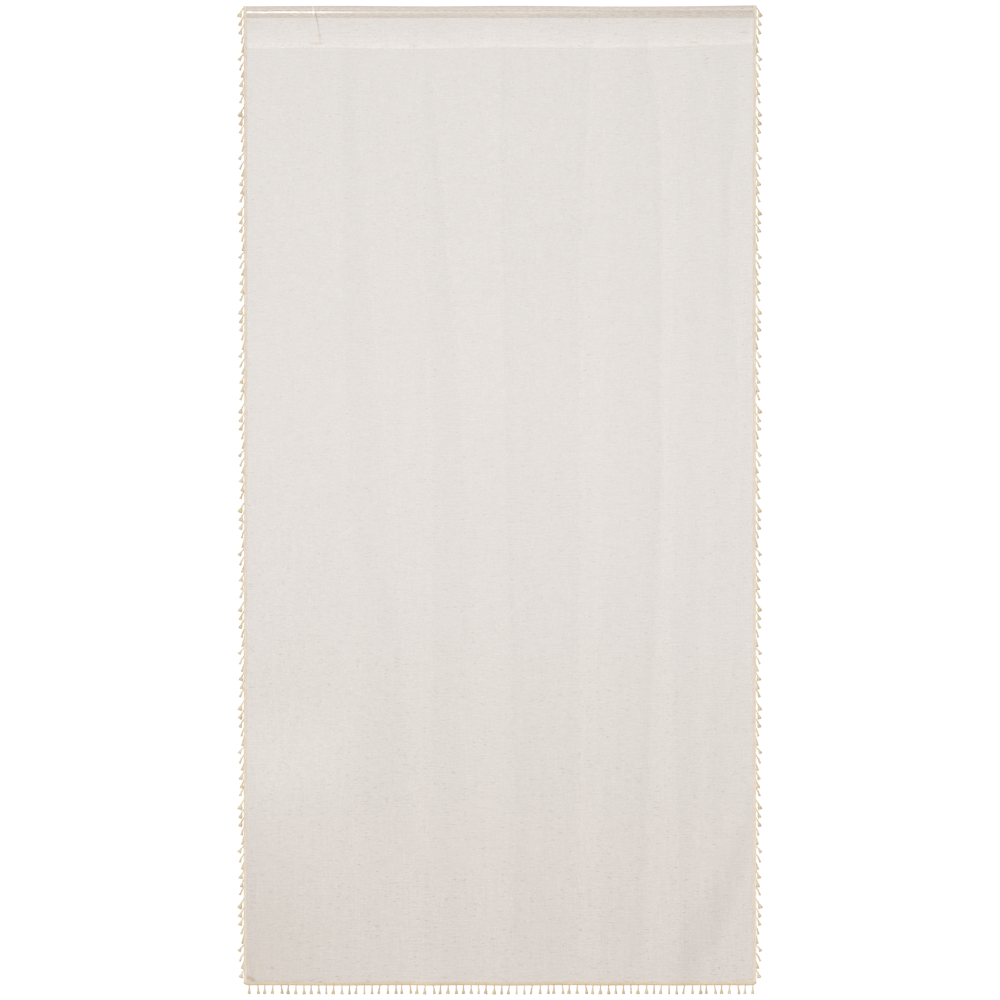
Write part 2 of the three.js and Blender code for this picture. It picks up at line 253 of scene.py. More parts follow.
def darker(color, share):
    return tuple(share * part for part in color[:3]) + (1,)


def newGroup(name, inputs, outputs):
    # A node group. inputs gives each input's number, or None for a vector, and all outputs are numbers.
    group = bpy.data.node_groups.new(name, "ShaderNodeTree")
    for label, value in inputs.items():
        kind = "NodeSocketVector" if value is None else "NodeSocketFloat"
        socket = group.interface.new_socket(label, in_out="INPUT", socket_type=kind)
        if value is not None:
            socket.default_value = value
    for label in outputs:
        group.interface.new_socket(label, in_out="OUTPUT", socket_type="NodeSocketFloat")
    return group, group.nodes.new("NodeGroupInput").outputs, group.nodes.new("NodeGroupOutput").inputs


def useGroup(group, values):
    return addNode("ShaderNodeGroup", values, node_tree=group).outputs


def newMaterial(name, constants):
    # A material, its tree and the inputs of its one shader. constants are alike all over.
    material = bpy.data.materials.new(name)
    material.use_nodes = True
    tree = material.node_tree
    shader = tree.nodes["Principled BSDF"].inputs
    for key, value in constants.items():
        shader[key].default_value = value
    return material, tree, shader


def addBump(shader, height, distance, strength):
    # Feeds a height in shares of distance, which is in metres, to the shader's normal.
    values = {"Height": height, "Distance": distance, "Strength": strength}
    feed(addNode("ShaderNodeBump", values).outputs[0], shader["Normal"])


# Patterns: scales are features in a metre across, up and out of the sheet, and reaches are metres.
linen = {
    "sway": 9,
    "swayReach": 0.004,
    "shortYarns": (170, 205, 1),
    "longYarns": (24, 240, 1),
    "warpYarns": (330, 7, 1),
    "grains": (700, 900, 1),
    "weft": 0.038,  # how strongly the yarns and the grain change the tone
    "warp": 0.026,
    "grain": 0.016,
    "footTone": 3.1,  # how many times more strongly at the foot
    "fleckSway": 30,
    "fleckSwayReach": 0.003,
    "fleckCells": (9.5, 62, 1),
    "fleckShare": 0.9,  # of the cells that hold a fleck
    "leastFleck": 0.35,  # the smallest fleck as a share of the size given, and the largest is 1 more
    "brown": ((0, 0, 0), (1.4, 1, 1)),  # how far a kind's pattern is moved, and how much finer it is
    "golden": ((8.3, 5.1, 0), (2.6, 2.3, 1)),
    "faint": ((3.7, 1.9, 0), (4.4, 2.7, 1)),
    "brownSize": 0.055,
    "goldenSize": 0.2,
    "faintSizes": (0.15, 0.22),  # before the painted shade towards the foot starts, and at the foot, as are the strengths
    "brownStrength": 0.78,
    "goldenStrengths": (0.45, 1),
    "faintStrengths": (0.5, 0.85),
    "patches": (4, 3, 1),
    "patchTones": (0.985, 1.015),
    "rodStreaks": (70, 420, 1),
    "depth": 0.0003,  # of the yarns' relief, in metres
}
# Cotton thread. fibres and slow are features in a turn round it and in a metre along it. shares are its
# painted shade's share between two threads and on one, and the last three move that up and down.
cotton = {
    "fibres": (14, 300, 1),
    "slow": (2, 26, 1),
    "shares": (0.75, 0.15),
    "fibreShare": 0.5,
    "slowShare": 0.5,
    "tasselShare": 0.3,
}


def buildWeaveGroup():
    # Uneven linen yarns: long thin streaks along the weft, longer faint ones along the warp, and a fine
    # grain. Tone is around 0, and Yarn is 1 where yarns are thick.
    inputs = {"Vector": None, "Weft": 1.0, "Warp": 1.0, "Grain": 1.0}
    group, given, made = newGroup("linenYarns", inputs, ["Tone", "Yarn"])
    vector = swayed(given["Vector"], linen["sway"], linen["swayReach"])
    short = noise(vector, linen["shortYarns"], 1.0, 0.6)
    long = noise(vector, linen["longYarns"], 2.0, 0.6)
    weft = mapRange(plus(short, long), 0, 2, -1.6, 1.6)
    warp = mapRange(noise(vector, linen["warpYarns"]), 0, 1, -1, 1)
    grain = mapRange(noise(vector, linen["grains"], 0.0), 0, 1, -1, 1)
    tone = plus(times(weft, given["Weft"]), times(warp, given["Warp"]), times(grain, given["Grain"]))
    feed(tone, made["Tone"])
    feed(mapRange(weft, -0.5, 0.5, 0, 1), made["Yarn"])
    return group


def buildFleckGroup():
    # Short flecks that lie along the weft. Each cell of a stretched pattern of cells holds one round its
    # middle point, where the sheet passes near it, and its size follows the cell's own random number.
    group, given, made = newGroup("linenFlecks", {"Vector": None, "Size": 0.05, "Share": 0.5}, ["Mask"])
    vector = swayed(given["Vector"], linen["fleckSway"], linen["fleckSwayReach"])
    values = {"Vector": stretched(vector, linen["fleckCells"]), "Scale": 1.0}
    cells = addNode("ShaderNodeTexVoronoi", values, feature="F1").outputs
    chance = addNode("ShaderNodeSeparateColor", {0: cells["Color"]}).outputs[0]
    present = mapRange(combine("SUBTRACT", given["Share"], chance), 0, 0.6, 0, 1)
    reach = times(given["Size"], plus(present, linen["leastFleck"]))
    body = mapRange(combine("DIVIDE", cells["Distance"], reach), 0.4, 1.0, 1, 0, smooth=True)
    feed(times(body, mapRange(present, 0.0, 0.04, 0, 1)), made["Mask"])
    return group


def buildThreadGroup():
    # Threads that lie side by side and turn round a cord: a sine of Threads times the place round it, in
    # turns, plus Turns times the metres along it. Tone is a fine noise around 0 and Height runs from 0
    # between two threads to 1 on one.
    inputs = {"Vector": None, "Threads": 6.0, "Turns": 60.0}
    group, given, made = newGroup("twistedThreads", inputs, ["Tone", "Height"])
    parts = addNode("ShaderNodeSeparateXYZ", {0: given["Vector"]}).outputs
    turns = plus(times(parts[0], given["Threads"]), times(parts[1], given["Turns"]))
    wave = combine("SINE", times(turns, 2 * np.pi))
    fibres = noise(given["Vector"], cotton["fibres"], 2.0, 0.6)
    feed(mapRange(fibres, 0, 1, -1, 1), made["Tone"])
    feed(mapRange(wave, -1, 1, 0, 1), made["Height"])
    return group


# The cloth

cloth = {
    "edge": 628.2,  # half its width
    "hemDrop": 2403.3,
    "seamDrop": 85,  # of the stitches that close the pocket
    "seamRise": 11,  # how much higher they end at the right
    "turning": 3,  # of the doubled cloth below the stitches
    "turningFade": 0.6,  # over which its lighter tone, partly painted light, ends, on both sides
    "rodRadius": 15.0,  # of the cloth where it lies on the rod
    "layers": 0.6,  # from the front layer to the back one at the seam
    "columnStep": 4.1,
    "fineStep": 1.4,  # where the pleat under the rod is
    "fineFrom": -474,
    "fineTo": -404,
    "rowStep": 12.4,
    "hemRows": [0, 2, 5, 9, 14, 20],  # above the hem
    "seamRows": [0, 1.2, 2.4, 3.6, 6, 10],  # from the stitches, up and down
    "rodRows": 26,
    "rodEdgeRows": [14.3, 15.4, 17, 20],  # drops where the rod's lower edge shows
    "pocketRows": 7,  # from the seam's rows to the rod's edge
    "leavingRows": 3,  # from there to where the cloth leaves the rod
    "backRows": 8,
    "pocketFrom": 15,  # the drop where the pocket shows below the rod
    "pocketLeast": 0.02,  # the share of the pocket there
    "rodEdge": (14, 16),  # drops between which the cloth stops being stretched over the rod
    "lightReach": 9,  # of the painted light that grows towards the seam
    "seamHighlightReach": 1.3,
    "hemming": (2, 8),  # heights between which the hem's tone ends
    "fadeFrom": 900,  # painted shade: the cloth turns slowly from its own colour to its shaded foot's between these drops
    "fadeTo": 2300,
    "fadePower": 1.5,
    "color": (0.762, 0.722, 0.688, 1),
    # Partly painted light: the pocket's doubled cloth made paler, for light passing through and between its
    # layers.
    "pocketLitColor": (0.85, 0.819, 0.793, 1),
    # Painted light towards the seam; along the stitches, white thread and a painted highlight on the seam's
    # fold.
    "seamLitColor": (0.945, 0.915, 0.885, 1),
    # Painted shade: the cloth darker and warmer at its foot, where the lights fall off.
    "shadedFootColor": (0.667, 0.598, 0.546, 1),
    "hemColor": (0.77, 0.70, 0.62, 1),
    "fleckColor": (0.51, 0.415, 0.315, 1),
    "goldTint": (0.94, 0.90, 0.795, 1),  # of the soft golden flecks, on the cloth's own colour
    "cover": 0.76,  # the share of the view that the single layer hides
    "rodCover": 0.70,  # and where it is stretched over the rod
    "doubleCover": 0.95,
    "passing": 0.38,  # how much of that cover stops light: the rest goes on through the threads
    "yarnCover": 0.05,  # how much more or less thick and thin yarns hide
    "hemCover": 0.15,  # how much more the hem hides
    "streakCover": 0.34,  # how much more or less the streaks hide on the rod
    "creaseStrength": 1.25,  # on the lift of every crease
    "creaseFade": 60,  # a crease dies out over this length at its ends
    "creaseEdge": 24,  # and towards the side tapes
    "creaseReach": 20,  # in widths, past which it is flat
    "creaseTurn": (0.3, 0.6),  # shares of the way over the rod between which it dies out
    "rodHollow": 0.3,  # the most that it goes in on the rod
}

# How far the cloth stands off its place on the rod, with a fine ripple, and how far its stitches wander
# below their line.
standOff = {
    "across": [-628, -476, -387, -178, 30, 238, 416, 535, 595, 628],
    "off": [-0.3, 0.6, 0.9, -0.4, 0.9, -0.6, -0.5, 0.8, 1.8, 2.1],
    "ripple": 0.06,
    "rippleLength": 11.3,  # for each radian
}
seamWander = {
    "across": [-628, -595, -476, -360, -240, -120, 0, 140, 300, 628],
    "down": [0, 1.5, -0.9, 0.4, 1.7, 0.2, -1.5, -0.7, 0.3, 0],
}

# Sines along the width. Their phases drift down the sheet by up to drift radians in driftDrop, and sway
# by bend radians. A wave's height is this share of its length.
waves = {
    "lengths": (170, 131, 97, 74, 58, 43),
    "height": 0.0013,
    "drift": 1.2,
    "driftDrop": 600,
    "bend": 0.8,
    "bendDrop": 420,
    "seed": 11,
}
# The gathers beside the stitches. A wave has a share of the height, its length for each radian, and a
# sway in radians with a length of its own.
puckers = {
    "height": 0.16,
    "reach": 13,
    "waves": [(1, 3.6, 2, 41), (0.7, 2.6, 1.3, 23)],
}

# The folds, from the left edge to the right one, troughs and crests by turns: each line's distance from
# the middle and its height towards the viewer at these four drops.
foldDrops = [cloth["seamDrop"], 850, 1600, cloth["hemDrop"]]
foldLines = {
    "left edge": ([-628.2, -627, -628, -628.2], [0, 0.5, 1, 2]),
    "left trough": ([-590, -592, -596, -596], [-0.5, -0.5, -1, -3]),
    "left crest": ([-400, -388, -350, -395], [1, 2, 3, 5]),
    "long trough": ([-358, -318, -238, -226], [-1.5, -3.5, -4, -5]),
    "long crest": ([-195, -168, -170, -168], [1, 2, 2.5, 4]),
    "inner trough": ([-150, -113, -98, -82], [-0.5, -2, -2.5, -4]),
    "middle crest": ([6, 13, 24, 22], [1.5, 3, 4, 6]),
    "wide trough": ([222, 203, 200, 188], [-2, -3, -3.5, -5.5]),
    "low crest": ([290, 268, 262, 253], [1, 1.5, 2, 4]),
    "sharp trough": ([377, 399, 393, 363], [-1.5, -2, -2.5, -4]),
    "sharp crest": ([450, 450, 430, 441], [1, 2, 2.5, 4]),
    "right trough": ([505, 500, 495, 487], [-0.5, -0.5, -0.5, -1]),
    "right crest": ([538, 535, 522, 515], [0.5, 0.5, 0.5, 0]),
    "leaning trough": ([582, 576, 555, 545], [-1, -1.5, -1.5, -3]),
    "right edge": ([628.2, 627, 627.5, 628.2], [0.5, 1, 0.5, 1.5]),
}
foldAcross, foldForward = zip(*foldLines.values())

# Creases on top of the folds: the widths on both sides of each one's line, how far it
# stands forward, or back where that is below 0, and the drops and places across of its line.
creases = {
    "pleat under the rod": ((4, 4), 0.6, [-15, 2, 28, 56, 90, 145, 294],
        [-462, -458, -453, -447, -440, -431, -418]),
    "left ridge": ((24, 14), 1.6, [108, 300, 550, 760, 900, 1050, 1250, 1450, 1650, 1850, 2020],
        [-398, -396, -392, -388, -384, -377, -370, -354, -346, -338, -336]),
    "long trough": ((14, 8), -1.5, [95, 200, 350, 500, 650, 800, 950, 1100, 1300, 1500, 1700, 1900, 2080],
        [-355, -351, -345, -332, -322, -312, -296, -280, -270, -250, -234, -225, -206]),
    "lower left ridge": ((40, 28), 2.2, [1400, 1560, 1700, 1850, 2000], [-318, -310, -300, -296, -290]),
    "upper long crest": ((16, 14), 1.0, [180, 400, 700, 900, 1150, 1400, 1560],
        [-200, -196, -202, -206, -212, -216, -216]),
    "inner ridge": ((5, 7), 0.7, [560, 700, 800, 1300, 1500, 1800, 1920],
        [-190, -181, -174, -166, -166, -169, -174]),
    "inner trough": ((10, 10), -1.5, [105, 250, 400, 500, 640, 760, 900, 1050, 1200, 1350, 1500, 1680],
        [-170, -163, -151, -138, -126, -108, -100, -96, -84, -74, -68, -72]),
    "middle edge": ((30, 8), 1.9, [60, 300, 500, 700, 900, 1100, 1300, 1500, 1700, 1900, 2050, 2200, 2380],
        [4, -1, 2, 9, 10, 12, 18, 21, 30, 35, 37, 30, 31]),
    "lower middle ridge": ((26, 14), 1.3, [1450, 1650, 1900, 2100, 2380], [30, 36, 42, 38, 36]),
    "wide trough": ((12, 6), -1.7, [34, 100, 300, 400, 500, 600, 850, 1300, 1600, 1750, 1900, 2050, 2320],
        [246, 225, 216, 211, 203, 197, 198, 197, 196, 196, 197, 196, 194]),
    "low ridge": ((7, 7), 0.9, [1600, 1700, 1850, 1980], [219, 217, 215, 212]),
    "low trough": ((8, 8), -0.9, [1560, 1700, 1850, 1930], [253, 254, 256, 258]),
    "third ridge": ((8, 8), 0.8, [1600, 1700, 1850, 1920], [292, 290, 288, 286]),
    "second low ridge": ((6, 6), 1.0, [1880, 1960, 2150, 2320], [257, 253, 251, 249]),
    "sharp trough": ((11, 10), -2.5,
        [40, 100, 150, 220, 300, 500, 700, 900, 1050, 1150, 1300, 1450, 1600, 1750, 1900, 2050, 2380],
        [362, 370, 380, 390, 398, 400, 400, 398, 402, 401, 394, 388, 381, 376, 368, 363, 356]),
    "thin ridge": ((4, 4), 0.5, [170, 400, 550, 775, 1000, 1300, 1450],
        [441, 441, 436, 429, 419, 414, 412]),
    "sharp ridge": ((15, 45), 2.3, [60, 500, 850, 1200, 1380, 1520], [472, 474, 475, 476, 468, 462]),
    "right swell": ((22, 16), 1.4, [850, 1000, 1500, 1700], [575, 572, 566, 560]),
    "lower sharp ridge": ((7, 7), 0.7, [1450, 1700, 1900, 2100, 2390], [417, 428, 438, 443, 445]),
    "short crease": ((4, 4), 0.9, [45, 59, 207, 260], [478, 483, 528, 540]),
    "right ridge": ((9, 9), 0.5, [120, 170, 300, 450, 620], [545, 546, 548, 549, 553]),
    "right trough": ((9, 7), -1.1, [80, 280, 390, 640, 760, 960], [595, 590, 571, 567, 585, 590]),
    "thin right ridge": ((5, 5), 0.8, [590, 700, 1000, 1400, 1600, 1780], [607, 606, 601, 588, 579, 564]),
    "corner ridge": ((26, 24), 2.5, [1900, 1960, 2001, 2060, 2120, 2170, 2210, 2250, 2300, 2380],
        [626, 611, 598, 574, 545, 508, 480, 459, 445, 436]),
    "corner trough": ((26, 11), -3.2, [1980, 2050, 2105, 2150, 2200, 2240, 2270, 2300, 2340, 2400],
        [655, 638, 622, 602, 590, 576, 562, 545, 515, 490]),
    "first foot crease": ((7, 7), -0.8, [2060, 2153, 2360], [-510, -509, -506]),
    "second foot crease": ((8, 6), -1.3, [1960, 2040, 2150, 2360], [-378, -373, -364, -357]),
    "third foot crease": ((7, 7), 0.9, [1800, 1900, 2050, 2180], [-184, -186, -172, -158]),
    "foot ridge": ((28, 22), 3.3, [2010, 2100, 2200, 2395], [-224, -220, -214, -206]),
    "foot hollow": ((16, 12), -2.5, [2010, 2100, 2200, 2395], [-180, -172, -166, -152]),
}


def foldsAt(across, drop):
    # For points given by their place at the seam and their drop: their place across there, and the
    # folds' height. Between two lines the place is a straight share, and the height half a cosine wave.
    lineAcross = np.stack([curveThrough(foldDrops, values, drop) for values in foldAcross])
    lineForward = np.stack([curveThrough(foldDrops, values, drop) for values in foldForward])
    starts = np.array([values[0] for values in foldAcross])
    left = np.clip(np.searchsorted(starts, across, side="right") - 1, 0, len(starts) - 2)
    share = (across - starts[left]) / (starts[left + 1] - starts[left])
    swing = (1 - np.cos(np.pi * share)) / 2
    pick = lambda table, index: np.take_along_axis(table, index[None], axis=0)[0]
    place = pick(lineAcross, left) * (1 - share) + pick(lineAcross, left + 1) * share
    height = pick(lineForward, left) * (1 - swing) + pick(lineForward, left + 1) * swing
    return place, height


def creasesAt(across, drop):
    # The sum of all creases. Each is its lift over the hyperbolic cosine of the distance from its line,
    # in shares of its width on that side.
    total = np.zeros(np.broadcast(across, drop).shape)
    for (left, right), lift, drops, line in creases.values():
        away = across - np.interp(drop, drops, line)
        away = np.clip(away / np.where(away < 0, left, right), -cloth["creaseReach"], cloth["creaseReach"])
        fade = smoothStep(drop, drops[0] - 1, drops[0] + cloth["creaseFade"]) if drops[0] > 0 else 1.0
        fade = fade * (1 - smoothStep(drop, drops[-1] - cloth["creaseFade"], drops[-1]))
        total += lift * fade * (drop >= drops[0]) / np.cosh(away)
    fromEdge = cloth["edge"] - np.abs(across)
    return cloth["creaseStrength"] * total * smoothStep(fromEdge, 0, cloth["creaseEdge"])


def wavesAt(across, drop):
    # Slight unevenness: the sum of the sines that waves describes.
    draw = np.random.default_rng(waves["seed"])
    total = np.zeros(np.broadcast(across, drop).shape)
    for length in waves["lengths"]:
        drift = draw.uniform(-waves["drift"], waves["drift"])
        phase, bend = draw.uniform(0, 2 * np.pi), draw.uniform(0, 2 * np.pi)
        slow = drift * drop / waves["driftDrop"] + waves["bend"] * np.sin(drop / waves["bendDrop"] + bend)
        total += waves["height"] * length * np.sin(2 * np.pi * across / length + phase + slow)
    return total


def seamAt(across):
    # The drop of the stitches, which wander a little and rise more and more towards the right end.
    rise = cloth["seamRise"] * np.clip(across / cloth["edge"], 0, 1) ** 3
    return cloth["seamDrop"] - rise + curveThrough(seamWander["across"], seamWander["down"], across)


def puckersAt(across, drop):
    # Small gathers beside the stitches: short waves that die out away from the seam as a bell curve.
    near = np.exp(-(((drop - seamAt(across)) / puckers["reach"]) ** 2))
    gathers = sum(
        share * np.sin(across / length + sway * np.sin(across / swayLength))
        for share, length, sway, swayLength in puckers["waves"]
    )
    return puckers["height"] * near * gathers


def layerAt(across, drop, front=True):
    # The place across of a layer's points, and how far its folds, waves, creases and gathers stand
    # forward. Folds and waves grow from the axis down to the seam, and so do the back layer's creases.
    place, height = foldsAt(across, drop)
    share = smoothStep(drop, 0, seamAt(across))
    height = height + wavesAt(across, drop)
    crease = creasesAt(place, drop)
    forward = share * height + crease if front else share * (height + crease)
    return place, forward + puckersAt(across, drop)


def clothRadiusAt(across):
    # The cloth's distance from the rod's axis, which is slightly uneven all along.
    off = curveThrough(standOff["across"], standOff["off"], across)
    return cloth["rodRadius"] + off + standOff["ripple"] * np.sin(across / standOff["rippleLength"] + 1)


def clothColumns():
    # The places of the columns at the seam, closer together round the pleat.
    even = np.arange(-cloth["edge"], cloth["edge"] - 1, cloth["columnStep"])
    fine = np.arange(cloth["fineFrom"], cloth["fineTo"], cloth["fineStep"])
    outside = even[(even < cloth["fineFrom"] - 1) | (even > cloth["fineTo"] + 1)]
    return np.sort(np.concatenate([outside, fine, [cloth["edge"]]]))[None, :]


def clothSurface():
    # The sheet as rows of points from the hem up the front, over the rod and down the back to the seam,
    # and the share of each point in the pocket: 0 on the rod, from above 0 below it to 1 at the seam.
    across = clothColumns()
    seam, radius = seamAt(across), clothRadiusAt(across)
    lean = np.arcsin(radius / seam)
    near = np.array(cloth["seamRows"])[:, None]
    parts = []

    hem = cloth["hemDrop"] - np.array(cloth["hemRows"])[:, None]
    low, high = hem[-1] - cloth["rowStep"], seam + near[-1] + cloth["rowStep"]
    count = round((cloth["hemDrop"] - cloth["seamDrop"]) / cloth["rowStep"])
    drop = np.concatenate([
        hem + 0 * seam,
        low + (high - low) * np.linspace(0, 1, count)[:, None],
        seam + near[::-1],
    ])
    place, forward = layerAt(across, drop)
    ends, fade = cloth["turning"], cloth["turningFade"]
    parts.append((place, -forward, drop, 1 - smoothStep(drop - seam, ends - fade, ends + fade)))
    print("front layer folded")

    leaves = radius * np.sin(lean)
    edges = np.array(cloth["rodEdgeRows"])[::-1, None] + 0 * seam
    high = seam - near[1:]
    between = high[-1] + (edges[0] - high[-1]) * shares(cloth["pocketRows"])[:-1]
    middle = edges[-1] + (leaves - edges[-1]) * shares(cloth["leavingRows"])
    drop = np.concatenate([high, between, edges, middle])
    place, forward = layerAt(across, drop)
    off = radius * np.cos(lean) * (seam - drop) / (seam - leaves)
    start, least = cloth["pocketFrom"], cloth["pocketLeast"]
    pocket = (drop > start) * (least + (1 - least) * np.clip((drop - start) / (seam - start), 0, 1))
    parts.append((place, -off - forward, drop, pocket))

    turn = shares(cloth["rodRows"])
    angle = np.pi + lean - turn * (np.pi + 2 * lean)
    lift = creasesAt(across, -radius * np.sin(angle)) * (1 - smoothStep(turn, *cloth["creaseTurn"]))
    out = radius + np.maximum(lift, -cloth["rodHollow"])
    parts.append((across + 0 * angle, out * np.cos(angle), -out * np.sin(angle), 0 * out))

    share = shares(cloth["backRows"])
    drop = leaves + (seam - leaves) * share
    place, forward = layerAt(across, drop, front=False)
    behind = radius * np.cos(lean) * (1 - share) + cloth["layers"] * share
    parts.append((place, behind - forward, drop, 0 * drop))

    drop = seam + cloth["turning"] * shares(2)
    place, forward = layerAt(across, drop)
    parts.append((place, cloth["layers"] - forward, drop, 0 * drop))
    place, behind, drop, pocket = (np.concatenate(rows) for rows in zip(*parts))
    return np.stack([place, behind, drop], axis=-1), pocket


def buildCloth():
    # The sheet, with the marks that its material reads: its pocket, painted light towards the seam and a
    # painted highlight along the stitches, the hem, painted shade that grows towards its foot, and what is
    # stretched over the rod.
    points, pocket = clothSurface()
    rows, columns = points.shape[:2]
    middle = points[:, columns // 2]
    lengths = distanceAlong(middle)
    drop = points[..., 2]
    seam = seamAt(points[..., 0])
    top = np.argmin(middle[:, 2])
    isFront = np.arange(rows)[:, None] < top
    nearSeam = np.exp(-np.abs(drop - seam) / cloth["lightReach"])
    fall = (drop - cloth["fadeFrom"]) / (cloth["fadeTo"] - cloth["fadeFrom"])
    marks = {
        "doubled": np.minimum(pocket / cloth["pocketLeast"], 1),
        "seamLight": 0.5 * pocket + 0.5 * nearSeam * (pocket > 0),
        "seamHighlight": np.exp(-(((drop - seam) / cloth["seamHighlightReach"]) ** 2)) * isFront,
        "hemming": isFront * (1 - smoothStep(cloth["hemDrop"] - drop, *cloth["hemming"])),
        "fall": np.clip(fall, 0, 1) ** cloth["fadePower"],
        "stretched": isFront * (1 - smoothStep(drop, *cloth["rodEdge"])) + 0 * drop,
    }
    loops = gridLoops((points[..., 0] / cloth["edge"] + 1) / 2, lengths / lengths[-1])
    material = buildClothMaterial(middle[:top, 2], lengths)
    faces = [gridFaces(rows, columns)]
    name = slot = "sheer_cloth"
    piece = makePiece(name, points, faces, [loops], material, "panel", marks, turned=False)
    return piece, lengths[-1]


# Stains and threads of another colour in the cloth, and painted shade and light, each along a line: its start
# and its end as places across and drops, how far it reaches from the line, how strong it is, and its tone.
stains = {
    # The pleat's dark line is painted shade in its crease.
    "painted shade in the pleat, upper part": ((-457.5, 0), (-452, 24), 2.4, 0.6, "pleat"),
    "painted shade in the pleat, lower part": ((-452, 24), (-446, 62), 2.2, 0.28, "pleat"),
    "painted highlight on the pleat's edge": ((-463, -14), (-462, 10), 3.2, 0.9, "light"),
    "tan patch": ((-467, 78), (-441, 78), 5, 0.35, "tan"),
    "tan patch, upper part": ((-446, 74), (-447, 58), 6, 0.3, "tan"),
    "first blotch": ((-388, 80), (-380, 80), 5, 0.3, "tan"),
    "second blotch": ((-286, 80), (-279, 79), 4, 0.25, "tan"),
    "third blotch": ((-222, 80), (-214, 80), 4, 0.25, "tan"),
    "fourth blotch": ((472, 78), (488, 79), 3, 0.5, "tan"),
    "fifth blotch": ((486, 66), (490, 62), 5, 0.3, "tan"),
    "sixth blotch": ((601, 56), (612, 58), 5, 0.3, "tan"),
    "painted shade in the lower left corner": ((-610, 2260), (-560, 2440), 270, 0.36, "shade"),
    "painted light, lower left patch": ((-570, 1850), (-470, 1850), 180, 0.14, "light"),
    "painted shade along the corner fold, upper part": ((612, 2050), (560, 2190), 50, 0.2, "rose shade"),
    "painted shade along the corner fold, lower part": ((535, 2220), (458, 2380), 74, 0.26, "rose shade"),
    "corner patch": ((-623, 2391), (-612, 2396), 9, 0.85, "brown"),
    "corner streak": ((-598, 2334), (-597, 2380), 7, 0.28, "tan"),
    "second corner streak": ((-623, 2336), (-613, 2384), 5, 0.22, "brown"),
    "loose thread": ((-600, 2362), (-572, 2370), 2.6, 0.3, "gold"),
    "corner thread": ((577, 2400), (627, 2396), 2.2, 0.75, "gold"),
    "loose end": ((557, 2389), (582, 2388), 2, 0.35, "gold"),
    "left knot": ((-567, 2368), (-562, 2369), 2.4, 0.9, "dark"),
    "right knot": ((541, 2368), (545, 2369), 2.2, 0.8, "dark"),
}
stainTones = {
    # The pleat tone is painted shade in the crease under the rod.
    "pleat": (0.40, 0.25, 0.19, 1),
    "tan": (0.72, 0.55, 0.38, 1),
    "gold": (0.68, 0.50, 0.24, 1),
    "brown": (0.50, 0.31, 0.12, 1),
    "dark": (0.32, 0.18, 0.09, 1),
    # The light tone is painted light: a highlight on the pleat's edge and a paler patch among the lower
    # folds.
    "light": (0.97, 0.95, 0.93, 1),
    # The shade tone is painted shade.
    "shade": (0.56, 0.485, 0.42, 1),
    # A rose tone of painted shade, along the fold at the lower right corner.
    "rose shade": (0.565, 0.475, 0.425, 1),
}


def buildLineGroup():
    # 1 on the line from Start to End, falling softly to 0 at the distance Width from it.
    inputs = {"Vector": None, "Start": None, "End": None, "Width": 0.01}
    group, given, made = newGroup("softLine", inputs, ["Mask"])
    way = vectorMath("SUBTRACT", {0: given["End"], 1: given["Start"]})[0]
    here = vectorMath("SUBTRACT", {0: given["Vector"], 1: given["Start"]})[0]
    reached = vectorMath("DOT_PRODUCT", {0: here, 1: way})["Value"]
    whole = vectorMath("DOT_PRODUCT", {0: way, 1: way})["Value"]
    nearest = vectorMath("SCALE", {0: way, "Scale": clamped(combine("DIVIDE", reached, whole))})[0]
    away = vectorMath("DISTANCE", {0: here, 1: nearest})["Value"]
    feed(mapRange(combine("DIVIDE", away, given["Width"]), 0, 1, 1, 0, smooth=True), made["Mask"])
    return group


def fleckMask(flat, shift, scale, size):
    # Where one kind of flecks lies. shift moves its pattern away from those of the other kinds.
    vector = stretched(vectorMath("ADD", {0: flat, 1: shift})[0], scale)
    return useGroup(fleckGroup, {"Vector": vector, "Size": size, "Share": linen["fleckShare"]})["Mask"]


